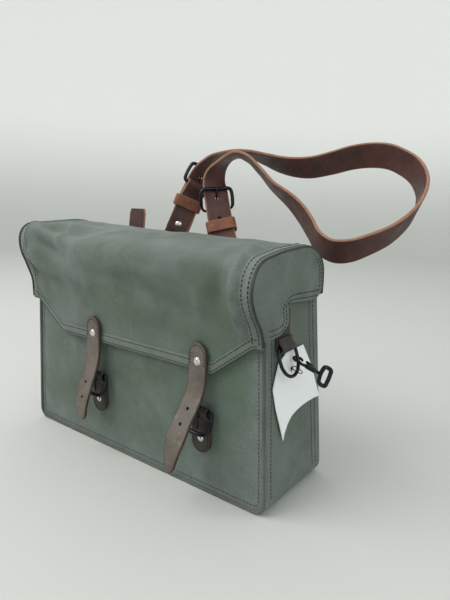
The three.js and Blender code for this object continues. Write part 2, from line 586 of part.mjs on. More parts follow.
// Short strap end standing up behind the lid on the stub anchor.
const stubPoints = [vec(ANCHOR_X.stub, 58, 263), vec(ANCHOR_X.stub, 55, 236), vec(ANCHOR_X.stub, 52.8, 208),
  vec(ANCHOR_X.stub, BACK.y + 3.2, 189), ...loopTurn(ANCHOR_X.stub)];
add('stub_strap', ribbon(stubPoints, ACROSS_X, STRAP.width, LEATHER, { steps: 26 }), STRAP_LEATHER);

export default bag;
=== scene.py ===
"""Looks of the canvas messenger bag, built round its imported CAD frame.

Shapes are worked out in millimetres in the frame's own axes and turned into metres as each mesh is made.
"""

import math

import bmesh
import bpy
import numpy as np
from mathutils import Matrix, Vector, geometry, noise


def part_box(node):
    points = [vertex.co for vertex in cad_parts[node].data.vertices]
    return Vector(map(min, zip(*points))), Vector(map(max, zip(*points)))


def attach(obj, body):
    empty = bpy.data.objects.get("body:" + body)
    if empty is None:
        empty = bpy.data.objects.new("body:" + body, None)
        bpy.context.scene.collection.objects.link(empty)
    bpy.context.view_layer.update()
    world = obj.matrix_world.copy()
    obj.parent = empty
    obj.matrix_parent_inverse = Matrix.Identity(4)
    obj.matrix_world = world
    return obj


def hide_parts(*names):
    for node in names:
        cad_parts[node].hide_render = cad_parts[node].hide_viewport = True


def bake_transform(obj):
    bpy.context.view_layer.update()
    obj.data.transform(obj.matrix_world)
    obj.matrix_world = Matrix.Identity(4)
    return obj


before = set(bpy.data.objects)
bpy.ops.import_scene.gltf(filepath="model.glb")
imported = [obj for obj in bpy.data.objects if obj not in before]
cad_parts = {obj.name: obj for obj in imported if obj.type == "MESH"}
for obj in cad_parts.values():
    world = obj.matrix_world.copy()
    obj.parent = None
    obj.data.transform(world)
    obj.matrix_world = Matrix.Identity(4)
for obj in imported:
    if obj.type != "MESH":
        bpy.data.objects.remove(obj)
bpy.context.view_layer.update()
MM = 0.001
SIDES = (("left", -1), ("right", 1))


# ---------- camera, lights and floor ----------
FLOOR_RADIUS, WALL_BEND, WALL_TOP, FLOOR_SIDES = 2.4, 0.8, 2.4, 72


def aim(thing, place, target):
    """Puts a camera or light at a place and turns it to a target, both in metres."""
    thing.location = place
    thing.rotation_euler = (Vector(target) - Vector(place)).to_track_quat("-Z", "Y").to_euler()
    bpy.context.scene.collection.objects.link(thing)


def make_camera():
    data = bpy.data.cameras.new("camera")
    data.lens = 29.87
    data.sensor_width = 36.0
    camera = bpy.data.objects.new("camera", data)
    place = Vector((0.3735, -0.3938, 0.2730))
    aim(camera, place, place + Vector((-0.5879, 0.7861, -0.1907)))
    roll = Matrix.Rotation(math.radians(1.69), 4, "Z")
    camera.rotation_euler = (camera.rotation_euler.to_matrix().to_4x4() @ roll).to_euler()
    bpy.context.scene.camera = camera


def area_light(name, place, target, size, power, colour=(1, 1, 1)):
    data = bpy.data.lights.new(name, "AREA")
    data.shape = "RECTANGLE"
    data.size = size[0]
    data.size_y = size[1]
    data.energy = power
    data.color = colour
    aim(bpy.data.objects.new(name, data), place, target)


def make_studio():
    """A pale floor that curves up into a wall, soft lights and an even sky."""
    centre = (0, 0, 0.12)
    area_light("key", (-0.75, -1.1, 1.7), centre, (1.6, 1.2), 27, (1, 0.99, 0.97))
    area_light("fill", (1.5, -0.7, 0.9), centre, (1.2, 1.2), 4.5, (0.95, 0.98, 1))
    area_light("top", (-0.3, 0.5, 1.9), centre, (1.8, 1.6), 6)
    world = bpy.data.worlds.new("sky")
    world.use_nodes = True
    world.node_tree.nodes["Background"].inputs["Color"].default_value = (0.94, 0.97, 1, 1)
    world.node_tree.nodes["Background"].inputs["Strength"].default_value = 0.62
    bpy.context.scene.world = world
    bpy.context.scene.view_settings.view_transform = "Standard"
    turns = FLOOR_SIDES
    bend = [(FLOOR_RADIUS + WALL_BEND * math.sin(a), WALL_BEND - WALL_BEND * math.cos(a))
            for a in np.linspace(0, math.pi / 2, 14)]
    profile = [(0.6, 0), (1.5, 0), *bend, (FLOOR_RADIUS + WALL_BEND, WALL_TOP)]
    points = [(0, 0, 0)]
    faces = [(0, 1 + k, 1 + (k + 1) % turns) for k in range(turns)]
    for i, (radius, z) in enumerate(profile):
        points += [(radius * math.cos(a), radius * math.sin(a), z)
                   for a in np.linspace(0, 2 * math.pi, turns, endpoint=False)]
        if i:
            low, high = 1 + (i - 1) * turns, 1 + i * turns
            faces += [(low + k, high + k, high + (k + 1) % turns, low + (k + 1) % turns)
                      for k in range(turns)]
    mesh = bpy.data.meshes.new("floor")
    mesh.from_pydata(points, [], faces)
    mesh.polygons.foreach_set("use_smooth", [True] * len(faces))
    mesh.materials.append(stage_material())
    floor = bpy.data.objects.new("floor", mesh)
    bpy.context.scene.collection.objects.link(floor)


# ---------- materials ----------
def linear(red, green, blue):
    """A colour given as 0 to 255 screen values, as the linear colour that a shader takes."""
    def one(value):
        share = value / 255
        return share / 12.92 if share <= 0.04045 else ((share + 0.055) / 1.055) ** 2.4
    return (one(red), one(green), one(blue), 1.0)


class Look:
    """A material under construction: each call adds a node and returns the socket to use next."""

    def __init__(self, name, roughness=0.6, metallic=0.0, specular=0.5):
        self.material = bpy.data.materials.new(name)
        self.material.use_nodes = True
        self.tree = self.material.node_tree
        self.shader = self.tree.nodes["Principled BSDF"]
        self.shader.inputs["Roughness"].default_value = roughness
        self.shader.inputs["Metallic"].default_value = metallic
        self.shader.inputs["Specular IOR Level"].default_value = specular
        self.coordinates = self.tree.nodes.new("ShaderNodeTexCoord")

    def node(self, kind, **values):
        made = self.tree.nodes.new(kind)
        for key, value in values.items():
            setattr(made, key, value)
        return made

    def put(self, value, socket):
        if isinstance(value, bpy.types.NodeSocket):
            self.tree.links.new(value, socket)
        else:
            socket.default_value = value

    def noise(self, scale, detail=3.0, roughness=0.5, space="Object", stretch=None):
        made = self.node("ShaderNodeTexNoise")
        vector = self.coordinates.outputs[space]
        if stretch:
            mapping = self.node("ShaderNodeMapping")
            mapping.inputs["Scale"].default_value = stretch
            self.tree.links.new(vector, mapping.inputs["Vector"])
            vector = mapping.outputs["Vector"]
        self.tree.links.new(vector, made.inputs["Vector"])
        made.inputs["Scale"].default_value = scale
        made.inputs["Detail"].default_value = detail
        made.inputs["Roughness"].default_value = roughness
        return made.outputs["Fac"]

    def cells(self, scale):
        made = self.node("ShaderNodeTexVoronoi", feature="DISTANCE_TO_EDGE")
        self.tree.links.new(self.coordinates.outputs["Object"], made.inputs["Vector"])
        made.inputs["Scale"].default_value = scale
        return made.outputs["Distance"]

    def math(self, operation, a, b=0.0):
        made = self.node("ShaderNodeMath", operation=operation)
        self.put(a, made.inputs[0])
        self.put(b, made.inputs[1])
        return made.outputs[0]

    def span(self, value, low, high):
        """The value stretched so that low becomes 0 and high becomes 1, and held there outside."""
        made = self.node("ShaderNodeMapRange")
        self.put(value, made.inputs["Value"])
        made.inputs["From Min"].default_value = low
        made.inputs["From Max"].default_value = high
        return made.outputs["Result"]

    def mix(self, share, a, b):
        made = self.node("ShaderNodeMix", data_type="RGBA")
        self.put(share, made.inputs["Factor"])
        self.put(a, made.inputs["A"])
        self.put(b, made.inputs["B"])
        return made.outputs["Result"]

    def weave(self, pitch):
        """Height of a plain weave of threads a pitch apart, along the mesh's own flat coordinates."""
        split = self.node("ShaderNodeSeparateXYZ")
        self.tree.links.new(self.coordinates.outputs["UV"], split.inputs[0])
        waves = [self.math("SINE", self.math("MULTIPLY", split.outputs[axis], math.pi / pitch))
                 for axis in ("X", "Y")]
        return self.math("MULTIPLY", waves[0], waves[1])

    def attribute(self, name):
        return self.node("ShaderNodeAttribute", attribute_name=name).outputs["Fac"]

    def bump(self, height, distance, strength=1.0, under=None):
        made = self.node("ShaderNodeBump")
        made.inputs["Distance"].default_value = distance
        made.inputs["Strength"].default_value = strength
        self.put(height, made.inputs["Height"])
        if under:
            self.put(under, made.inputs["Normal"])
        return made.outputs["Normal"]

    def finish(self, colour=None, roughness=None, normal=None):
        if colour is not None:
            self.put(colour, self.shader.inputs["Base Color"])
        if roughness is not None:
            self.put(roughness, self.shader.inputs["Roughness"])
        if normal is not None:
            self.put(normal, self.shader.inputs["Normal"])
        return self.material


def stage_material():
    """Pale floor with a faint unevenness, whose far wall glows more strongly the higher it rises."""
    look = Look("pale_floor", 0.85, specular=0.2)
    parts = look.node("ShaderNodeSeparateXYZ")
    look.put(look.node("ShaderNodeNewGeometry").outputs["Position"], parts.inputs["Vector"])
    ramp = look.node("ShaderNodeMapRange", interpolation_type="SMOOTHSTEP")
    for name, value in (("From Min", 0.0), ("From Max", 0.9), ("To Min", 0.0), ("To Max", 0.36)):
        ramp.inputs[name].default_value = value
    look.put(parts.outputs["Z"], ramp.inputs["Value"])
    look.put(ramp.outputs["Result"], look.shader.inputs["Emission Strength"])
    look.shader.inputs["Emission Color"].default_value = (0.97, 1, 0.99, 1)
    return look.finish(look.mix(look.noise(2.5), (0.57, 0.58, 0.55, 1), (0.59, 0.6, 0.57, 1)))


WEAVE_PITCH = 0.0009


def canvas_material(name, base, faded, dark, green_tone):
    """Coated cotton canvas: mottled, rubbed paler in patches and painted paler on the lid's fold ridges as a
    highlight, with a fine plain weave.
    """
    look = Look(name, 0.72, specular=0.3)
    look.shader.inputs["Sheen Weight"].default_value = 0.12
    look.shader.inputs["Sheen Roughness"].default_value = 0.5
    patches = look.span(look.noise(9, 5, 0.62), 0.44, 0.64)
    clouds = look.span(look.noise(21, 6, 0.66), 0.45, 0.68)
    colour = look.mix(look.math("MULTIPLY", patches, 0.8), base, faded)
    colour = look.mix(look.math("MULTIPLY", clouds, 0.5), colour, dark)
    green = look.span(look.noise(6.5, 3, 0.55, "Object", (1, 1.3, 0.7)), 0.5, 0.68)
    colour = look.mix(look.math("MULTIPLY", green, 0.45), colour, green_tone)
    # Paler where the per-point attribute is high: real rubbing near seams, edges and hem, and a painted
    # highlight on the lid's fold ridges.
    worn = look.math("MULTIPLY", look.attribute("wear_and_highlight"), look.span(look.noise(60, 4, 0.65), 0.25, 0.6))
    colour = look.mix(worn, colour, faded)
    specks = look.span(look.noise(420, 3, 0.7), 0.35, 0.7)
    colour = look.mix(look.math("MULTIPLY", specks, 0.3), colour, dark)
    normal = look.bump(look.weave(WEAVE_PITCH), 0.00016, 0.9)
    normal = look.bump(look.noise(160, 4, 0.6), 0.0007, 0.7, normal)
    return look.finish(colour, look.span(look.noise(40), -1.0, 1.6), normal)


def leather_material(name, base, dark, light, roughness):
    """Waxed leather with a pebbled grain, scuffs and darker patches."""
    look = Look(name, roughness, specular=0.5)
    tone = look.span(look.noise(28, 5, 0.65), 0.35, 0.68)
    colour = look.mix(tone, dark, base)
    scuffs = look.span(look.noise(120, 5, 0.7), 0.56, 0.78)
    colour = look.mix(look.math("MULTIPLY", scuffs, 0.6), colour, light)
    colour = look.mix(look.math("MULTIPLY", look.attribute("wear_and_highlight"), 0.8), colour, light)
    pores = look.span(look.cells(1100), 0.0, 0.16)
    normal = look.bump(pores, 0.0001, 0.5)
    normal = look.bump(look.noise(220, 4, 0.6), 0.0005, 0.35, normal)
    rough = look.span(look.noise(70, 4), -0.55, 1.45)
    return look.finish(colour, rough, normal)


def edge_material(name, base, dark):
    """Raw cut edge of leather: layered fibres along the strap."""
    look = Look(name, 0.7, specular=0.3)
    fibres = look.span(look.noise(900, 4, 0.7, "UV", (0.15, 1, 1)), 0.3, 0.7)
    return look.finish(look.mix(fibres, dark, base), None, look.bump(fibres, 0.0002, 0.5))


def metal_material(name, base, worn, roughness, metallic):
    """Metal with fine scratches and rubbed places."""
    look = Look(name, roughness, metallic)
    rubbed = look.math("MULTIPLY", look.span(look.noise(190, 5, 0.7), 0.52, 0.75), 0.35)
    scratches = look.noise(1500, 2, 0.6, "Object", (1, 0.2, 1))
    rough = look.span(scratches, 0.5 - 1.2 * roughness, 2.3)
    return look.finish(look.mix(rubbed, base, worn), rough, look.bump(scratches, 0.00005, 0.3))


def thread_material(name, base, dark):
    look = Look(name, 0.8, specular=0.2)
    twist = look.span(look.noise(1400, 2), 0.35, 0.65)
    return look.finish(look.mix(twist, dark, base))


def paper_material():
    look = Look("tag_paper", 0.85, specular=0.2)
    fibres = look.noise(700, 4, 0.6)
    colour = look.mix(look.span(fibres, 0.3, 0.7), linear(236, 240, 241), linear(247, 249, 250))
    return look.finish(colour, None, look.bump(fibres, 0.0001, 0.3))


CANVAS = canvas_material(
    "bag_canvas", linear(90, 104, 91), linear(116, 126, 124), linear(62, 72, 61), linear(82, 104, 83))
HEM_CANVAS = canvas_material(
    "hem_canvas", linear(98, 108, 99), linear(120, 127, 123), linear(76, 86, 76), linear(90, 106, 90))
WELT_CANVAS = canvas_material(
    "welt_canvas", linear(48, 53, 47), linear(78, 84, 79), linear(34, 38, 33), linear(46, 54, 45))
PIPING_CANVAS = canvas_material(
    "piping_canvas", linear(82, 90, 80), linear(112, 116, 108), linear(56, 63, 54), linear(80, 92, 76))
CLOSURE_LEATHER = leather_material(
    "closure_leather", linear(108, 99, 91), linear(80, 72, 64), linear(140, 134, 128), 0.46)
CLOSURE_EDGE = edge_material("closure_edge", linear(78, 66, 55), linear(50, 42, 35))
DARK_LEATHER = leather_material(
    "chape_leather", linear(58, 50, 44), linear(38, 33, 30), linear(86, 76, 68), 0.48)
STRAP_LEATHER = leather_material(
    "strap_leather", linear(88, 47, 38), linear(50, 28, 25), linear(120, 74, 60), 0.4)
STRAP_EDGE = edge_material("strap_edge", linear(168, 128, 106), linear(128, 90, 70))
KEEPER_LEATHER = leather_material(
    "keeper_leather", linear(138, 80, 50), linear(98, 54, 35), linear(172, 112, 76), 0.38)
BLACK_METAL = metal_material("black_enamel", linear(22, 22, 26), linear(74, 76, 80), 0.3, 0.5)
NICKEL = metal_material("nickel", linear(214, 213, 208), linear(166, 162, 154), 0.24, 1.0)
PAPER = paper_material()
DARK_THREAD = thread_material("dark_thread", linear(42, 40, 38), linear(26, 25, 24))
BROWN_THREAD = thread_material("brown_thread", linear(92, 72, 62), linear(66, 52, 45))
LEATHER_THREAD = thread_material("leather_thread", linear(52, 44, 38), linear(34, 29, 25))


# ---------- mesh helpers ----------
def make(name, points, faces, materials, flat=None, parts=None, wear_and_highlight=None, crease=50):
    """A mesh object from points in millimetres, with its faces turned outwards."""
    mesh = bpy.data.meshes.new(name)
    mesh.from_pydata((np.asarray(points, float) * MM).tolist(), [], faces)
    for material in materials:
        mesh.materials.append(material)
    if parts is not None:
        mesh.polygons.foreach_set("material_index", parts)
    if flat is not None:
        corners = np.zeros(len(mesh.loops), np.int32)
        mesh.loops.foreach_get("vertex_index", corners)
        layer = mesh.uv_layers.new(name="flat")
        layer.uv.foreach_set("vector", (np.asarray(flat, float)[corners] * MM).ravel())
    if wear_and_highlight is not None:
        mesh.attributes.new("wear_and_highlight", "FLOAT", "POINT").data.foreach_set("value", np.clip(wear_and_highlight, 0, 1))
    work = bmesh.new()
    work.from_mesh(mesh)
    bmesh.ops.recalc_face_normals(work, faces=work.faces)
    work.to_mesh(mesh)
    work.free()
    mesh.polygons.foreach_set("use_smooth", [True] * len(mesh.polygons))
    mesh.set_sharp_from_angle(angle=math.radians(crease))
    piece = bpy.data.objects.new(name, mesh)
    bpy.context.scene.collection.objects.link(piece)
    return piece


def lengths(points):
    steps = np.linalg.norm(np.diff(points, axis=0), axis=1)
    return np.concatenate([[0], np.cumsum(steps)])


def skin(name, rings, materials, closed=False, part=None, wear_and_highlight=None, crease=50):
    """A closed body through rings of points: capped at both ends, or joined end to start."""
    rings = np.asarray(rings, float)
    count, size = rings.shape[:2]
    faces, parts = [], []
    for i in range(count if closed else count - 1):
        low, high = i * size, ((i + 1) % count) * size
        for k in range(size):
            after = (k + 1) % size
            faces.append((low + k, low + after, high + after, high + k))
            parts.append(part[k] if part else 0)
    if not closed:
        faces.append(tuple(range(size - 1, -1, -1)))
        faces.append(tuple((count - 1) * size + k for k in range(size)))
        parts += [max(parts)] * 2
    along = lengths(rings[:, 0])
    round_it = lengths(rings[count // 2])
    flat = np.array([(u, v) for u in along for v in round_it])
    worn = None if wear_and_highlight is None else np.repeat(wear_and_highlight, size) if np.ndim(wear_and_highlight) == 1 else np.ravel(wear_and_highlight)
    return make(name, rings.reshape(-1, 3), faces, materials, flat, parts, worn, crease)


def spline(points, share, closed=False):
    """A point on a centripetal Catmull-Rom curve, at a share of its control intervals."""
    points = np.asarray(points, float)
    total = len(points)
    place = share * (total if closed else total - 1)
    index = int(math.floor(place))
    weight = place - index
    if closed:
        index %= total
    elif index >= total - 1:
        index, weight = total - 2, 1.0
    inner = [points[index % total], points[(index + 1) % total]]
    before = points[(index - 1) % total] if closed or index > 0 else 2 * points[0] - points[1]
    after = points[(index + 2) % total] if closed or index + 2 < total else 2 * points[-1] - points[-2]
    knots = [before, *inner, after]
    gaps = [max(np.linalg.norm(knots[i + 1] - knots[i]) ** 0.5, 1e-4) for i in range(3)]
    speed_in = (inner[0] - before) / gaps[0] - (inner[1] - before) / (gaps[0] + gaps[1]) \
        + (inner[1] - inner[0]) / gaps[1]
    speed_out = (inner[1] - inner[0]) / gaps[1] - (after - inner[0]) / (gaps[1] + gaps[2]) \
        + (after - inner[1]) / gaps[2]
    speed_in, speed_out = speed_in * gaps[1], speed_out * gaps[1]
    a = 2 * inner[0] - 2 * inner[1] + speed_in + speed_out
    b = -3 * inner[0] + 3 * inner[1] - 2 * speed_in - speed_out
    return inner[0] + speed_in * weight + b * weight ** 2 + a * weight ** 3


def evenly(points, pitch, closed=False, across=None):
    """The curve through the points, with a point every pitch, and the directions that go with them."""
    fine = 12 * len(points)
    shares = np.linspace(0, 1, fine + 1)
    curve = np.array([spline(points, t, closed) for t in shares])
    travelled = lengths(curve)
    count = max(int(round(travelled[-1] / pitch)), 3)
    stops = np.linspace(0, travelled[-1], count + 1)
    if closed:
        stops = stops[:-1]
    placed = np.stack([np.interp(stops, travelled, curve[:, axis]) for axis in range(3)], 1)
    if across is None:
        return placed
    spread = np.array([spline(across, t, closed) for t in shares])
    return placed, np.stack([np.interp(stops, travelled, spread[:, axis]) for axis in range(3)], 1)


def tangents(points, closed=False):
    if closed:
        steps = np.roll(points, -1, 0) - np.roll(points, 1, 0)
    else:
        steps = np.gradient(points, axis=0)
    return steps / np.linalg.norm(steps, axis=1, keepdims=True)


def unit(vectors):
    return vectors / np.linalg.norm(vectors, axis=-1, keepdims=True)


def strap_frame(points, across, pitch, closed=False):
    """Centres, width directions and face directions along a strap."""
    centres, spread = evenly(points, pitch, closed, across)
    along = tangents(centres, closed)
    spread = unit(spread - along * np.sum(spread * along, axis=1, keepdims=True))
    return centres, spread, np.cross(along, spread)


def strap(name, points, across, width, thickness, materials, taper=None, closed=False, pitch=1.6):
    """A leather strap with rounded cut edges. taper gives its share of the width at a distance along it."""
    if np.ndim(across) == 1:
        across = [across] * len(points)
    centres, spread, face = strap_frame(points, across, pitch, closed)
    travelled = lengths(centres)
    spans, arc = 8, 6
    rise = thickness / 2
    turn = np.linspace(math.pi / 2, -math.pi / 2, arc)
    rings = []
    for centre, side, out, reach in zip(centres, spread, face, travelled):
        half = width / 2 * (taper(reach, travelled[-1]) if taper else 1)
        radius = min(rise * 0.75, half * 0.8)
        flat = np.linspace(-(half - radius), half - radius, spans + 1)
        u = [*flat, *(half - radius + radius * np.cos(turn[1:-1])),
             *flat[::-1], *(-(half - radius) - radius * np.cos(turn[::-1][1:-1]))]
        v = [*[rise] * (spans + 1), *(rise * np.sin(turn[1:-1])),
             *[-rise] * (spans + 1), *(rise * np.sin(turn[::-1][1:-1]))]
        rings.append([centre + side * a + out * b for a, b in zip(u, v)])
    edges = set(range(spans, spans + arc - 1)) | set(range(2 * spans + arc - 1, 2 * spans + 2 * arc - 2))
    part = [1 if k in edges else 0 for k in range(len(rings[0]))]
    return skin(name, rings, materials, closed, part, crease=60)


def rod(name, points, radius, material, closed=False, sides=12, pitch=1.0, round_ends=True, swell=None):
    """A round wire through the points, with domed ends. swell gives a share of the radius at a point."""
    centres = evenly(points, pitch, closed)
    along = tangents(centres, closed)
    radii = [radius * (swell(centre) if swell else 1) for centre in centres]
    normal = np.array([0, 1.0, 0]) if abs(along[0][1]) < 0.9 else np.array([1.0, 0, 0])
    rings = []
    for i, (centre, direction) in enumerate(zip(centres, along)):
        normal = normal - direction * (normal @ direction)
        normal = normal / np.linalg.norm(normal)
        other = np.cross(direction, normal)
        angles = np.linspace(0, 2 * math.pi, sides, endpoint=False)
        rings.append(centre + radii[i] * (np.outer(np.cos(angles), normal) + np.outer(np.sin(angles), other)))
    if closed:
        gap_rings = np.array(rings)
        first, last = gap_rings[0] - centres[0], gap_rings[-1] - centres[-1]
        shift = int(np.argmin([np.linalg.norm(np.roll(last, k, 0) - first) for k in range(sides)]))
        steps = shift if shift <= sides / 2 else shift - sides
        turned = []
        for i, (ring, centre, direction) in enumerate(zip(rings, centres, along)):
            angle = 2 * math.pi * steps / sides * (i / len(rings))
            spin = np.array(Matrix.Rotation(angle, 3, Vector(direction)))
            turned.append((ring - centre) @ spin.T + centre)
        rings = turned
    elif round_ends:
        for end, away in ((0, -1), (-1, 1)):
            tip = [centres[end] + (rings[end] - centres[end]) * math.cos(a)
                   + away * along[end] * radii[end] * math.sin(a) * 0.8 for a in np.linspace(0.35, 1.35, 3)]
            rings = [*tip[::-1], *rings] if end == 0 else [*rings, *tip]
    return skin(name, rings, [material], closed, crease=80)


def dome(name, centre, radius, height, direction, material):
    """A rivet head: a low dome with a thin flat rim, standing on its underside."""
    profile = [(0.55, 0), (0.98, 0), (1.0, 0.14), (0.94, 0.24), (0.86, 0.3)]
    profile += [(0.84 * math.cos(a), 0.34 + 0.66 * math.sin(a)) for a in np.linspace(0.1, 1.42, 7)]
    up = unit(np.asarray(direction, float))
    side = unit(np.cross(up, [0.3, 0.2, 1.0]))
    other = np.cross(up, side)
    angles = np.linspace(0, 2 * math.pi, 28, endpoint=False)
    rings = [np.asarray(centre) + up * (h * height)
             + radius * r * (np.outer(np.cos(angles), side) + np.outer(np.sin(angles), other))
             for r, h in profile]
    return skin(name, rings, [material], crease=35)


def sheet_rings(outer, inner):
    """Rings for a sheet with thickness: each row of the outer face, then back along the inner face."""
    return np.concatenate([outer, inner[:, ::-1]], axis=1)


def patch(outline, pitch):
    """Points and triangles that fill a flat outline evenly, with the outline's own edges."""
    outline = np.asarray(outline, float)
    border = []
    for start, end in zip(outline, np.roll(outline, -1, 0)):
        steps = max(int(np.linalg.norm(end - start) / pitch), 1)
        border += [start + (end - start) * i / steps for i in range(steps)]
    low, high = outline.min(0), outline.max(0)
    inside = [Vector((u, v)) for u in np.arange(low[0] + pitch / 2, high[0], pitch)
              for v in np.arange(low[1] + pitch / 2, high[1], pitch)]
    edge = np.array(border)
    inside = [p for p in inside if np.min(np.hypot(edge[:, 0] - p.x, edge[:, 1] - p.y)) > pitch * 0.55]
    points = [Vector(p) for p in border] + inside
    ring = [list(range(len(border)))]
    done = geometry.delaunay_2d_cdt(points, [], ring, 1, 1e-5)
    return [tuple(p) for p in done[0]], [tuple(f) for f in done[2]]


def slab(name, outline, place, thickness, pitch, materials, wear_and_highlight=None):
    """A panel with thickness over a flat outline. place turns (u, v, depth) into a point."""
    points, triangles = patch(outline, pitch)
    size = len(points)
    outer = [place(u, v, 0.0) for u, v in points]
    inner = [place(u, v, thickness) for u, v in points]
    edges = {}
    for face in triangles:
        for a, b in zip(face, face[1:] + face[:1]):
            edges[(a, b)] = True
    faces = list(triangles) + [tuple(i + size for i in reversed(face)) for face in triangles]
    faces += [(a, a + size, b + size, b) for a, b in edges if (b, a) not in edges]
    worn = None if wear_and_highlight is None else [wear_and_highlight(u, v) for u, v in points] * 2
    return make(name, outer + inner, faces, materials, points * 2, None, worn)


def smooth(value, low, high):
    share = min(max((value - low) / (high - low), 0.0), 1.0)
    return share * share * (3 - 2 * share)


def bumpy(u, v, scale, seed):
    """Smooth noise between about -1 and 1, over a flat surface."""
    return noise.noise(Vector((u / scale, v / scale, seed * 7.31)))


def settle(piece, body, slot, *nodes):
    """Puts a piece on its body, in place of CAD nodes. Its material slot argument is not used."""
    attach(piece, body)
    if nodes:
        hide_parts(*nodes)
    return piece


def middle(node):
    """Middle of a CAD node's box, in millimetres."""
    low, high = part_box(node)
    return (np.array(low) + np.array(high)) / 2 / MM


def stitches(name, runs, material, body, slot, spacing=3.9, length=2.8, radius=0.42):
    """Rows of sewn thread. Each run is points on a surface and the directions that face out of it."""
    angles = np.linspace(0, 2 * math.pi, 5, endpoint=False)
    points, faces = [], []
    for path, outward in runs:
        path, outward = np.asarray(path, float), np.asarray(outward, float)
        travelled = lengths(path)
        for start in np.arange(spacing / 2, travelled[-1] - length, spacing):
            stops = start + length * np.array([0, 0.25, 0.75, 1])
            line = np.stack([np.interp(stops, travelled, path[:, axis]) for axis in range(3)], 1)
            up = unit(np.array([np.interp(stops[1], travelled, outward[:, axis]) for axis in range(3)]))
            side = unit(np.cross(line[-1] - line[0], up))
            base = len(points)
            for spot, lift, swell in zip(line, (-0.35, 0.55, 0.55, -0.35), (0.6, 1, 1, 0.6)):
                heart = spot + up * radius * lift
                points += [heart + radius * swell * (math.cos(a) * up * 0.8 + math.sin(a) * side)
                           for a in angles]
            for i in range(3):
                for k in range(5):
                    low, after = base + 5 * i, (k + 1) % 5
                    faces.append((low + k, low + after, low + 5 + after, low + 5 + k))
            faces += [tuple(base + k for k in range(4, -1, -1)), tuple(base + 15 + k for k in range(5))]
    return settle(make(name, points, faces, [material], crease=80), body, slot)


# ---------- canvas body ----------
HALF_BASE, HALF_TOP, CORNER = 170, 161, 13
TOP_LEVEL, HEIGHT = 186, 197
FRONT, BACK_BASE, BACK_TOP = -52, 52, 38
PANEL, SEAM_GAP, SEAM_INSET = 2.0, 0.3, 7.5


def half_width(z):
    return HALF_BASE + (HALF_TOP - HALF_BASE) * z / TOP_LEVEL


def back_at(z):
    return BACK_BASE + (BACK_TOP - BACK_BASE) * z / TOP_LEVEL


def body_outline(inset, steps=10, top=HEIGHT):
    """U outline of the body in XZ, from the top left round the bottom to the top right."""
    radius = CORNER - inset
    turn = np.linspace(-math.pi / 2, 0, steps)
    corner = [(HALF_BASE - CORNER + radius * math.cos(a), CORNER + radius * math.sin(a)) for a in turn]
    right = [(x - (HALF_BASE - half_width(z)), z) for x, z in corner] + [(half_width(top) - inset, top)]
    return [(-x, z) for x, z in reversed(right)] + right


def edge_distance(x, z):
    return min(half_width(z) - abs(x), z)


def edge_wear(x, z):
    """Canvas rubs paler close to its seams and lower corners."""
    near = 1 - smooth(edge_distance(x, z), 3, 34)
    return 0.75 * near + 0.35 * smooth(bumpy(x, z, 48, 3), 0.0, 0.5)


def front_face(x, z, depth=0.0):
    hollow = smooth(edge_distance(x, z), 2, 45) * (0.9 + 0.7 * bumpy(x, z, 55, 1)) \
        + 0.25 * bumpy(x, z, 18, 2) * smooth(edge_distance(x, z), 2, 12)
    return (x, FRONT + max(hollow, 0) + depth, z)


def back_face(x, z, depth=0.0):
    hollow = smooth(edge_distance(x, z), 2, 45) * (1.2 + 1.0 * bumpy(x, z, 60, 4))
    return (x, back_at(z) - max(hollow, 0) - depth, z)


def make_panels():
    outline = body_outline(0)
    front = slab("front_canvas", outline, front_face, PANEL, 4.5, [CANVAS], edge_wear)
    settle(front, "bag_body", "canvas", "front_panel")
    back = slab("back_canvas", outline, back_face, PANEL, 5.0, [CANVAS], edge_wear)
    settle(back, "bag_body", "canvas", "back_panel")


def gusset_depth(z):
    """Front and back edges of the gusset at a height."""
    return FRONT + PANEL + SEAM_GAP, back_at(z) - PANEL - SEAM_GAP


def gusset_pull(sign, y, z, share):
    """How far the gusset is drawn in at a share of its depth."""
    pull = smooth(z, CORNER, 45) * math.sin(math.pi * share) ** 0.8 * (1.1 + 0.9 * bumpy(y, z, 32, 5 + sign))
    return max(pull, 0)


def gusset_path(inset, pitch=4.0):
    outline = np.array([(x, 0, z) for x, z in body_outline(inset)])
    travelled = lengths(outline)
    stops = np.linspace(0, travelled[-1], int(travelled[-1] / pitch))
    return np.stack([np.interp(stops, travelled, outline[:, axis]) for axis in (0, 2)], 1)


def make_gusset():
    """The strip that makes both ends and the bottom, drawn in a little between its seams."""
    across = np.linspace(0, 1, 26)
    outer, inner = [], []
    for x, z in gusset_path(0):
        near, far = gusset_depth(z)
        sign, turn = math.copysign(1, x), smooth(z, 0, CORNER)
        row_out, row_in = [], []
        for t in across:
            y = near + (far - near) * t
            shift = gusset_pull(sign, y, z, t) * sign
            row_out.append((x - shift, y, z))
            row_in.append((x - shift - sign * PANEL * turn, y, z + PANEL * (1 - turn)))
        outer.append(row_out)
        inner.append(row_in)
    outer, inner = np.array(outer), np.array(inner)
    near_edge = np.abs(across - 0.5) * 2
    rubbed = np.tile(np.concatenate([near_edge, near_edge[::-1]]) ** 3 * 0.7, (len(outer), 1))
    piece = skin("gusset_canvas", sheet_rings(outer, inner), [CANVAS], wear_and_highlight=rubbed)
    settle(piece, "bag_body", "canvas", "gusset")


def make_piping():
    path = body_outline(1.9, 12, TOP_LEVEL)
    front = [(x, FRONT - 0.6, z) for x, z in path]
    back = [(x, back_at(z) + 0.6, z) for x, z in path]
    for name, points in (("front", front), ("back", back)):
        piece = rod(f"{name}_seam_cord", points, 1.7, PIPING_CANVAS, sides=10, pitch=3.0)
        settle(piece, "bag_body", "seam_trim", f"{name}_piping")


def seam_run(inset, place, outward, top=HEIGHT - 3):
    path = [(x, z) for x, z in gusset_path(inset, 2.0) if z < top]
    return [place(x, z) for x, z in path], [outward] * len(path)


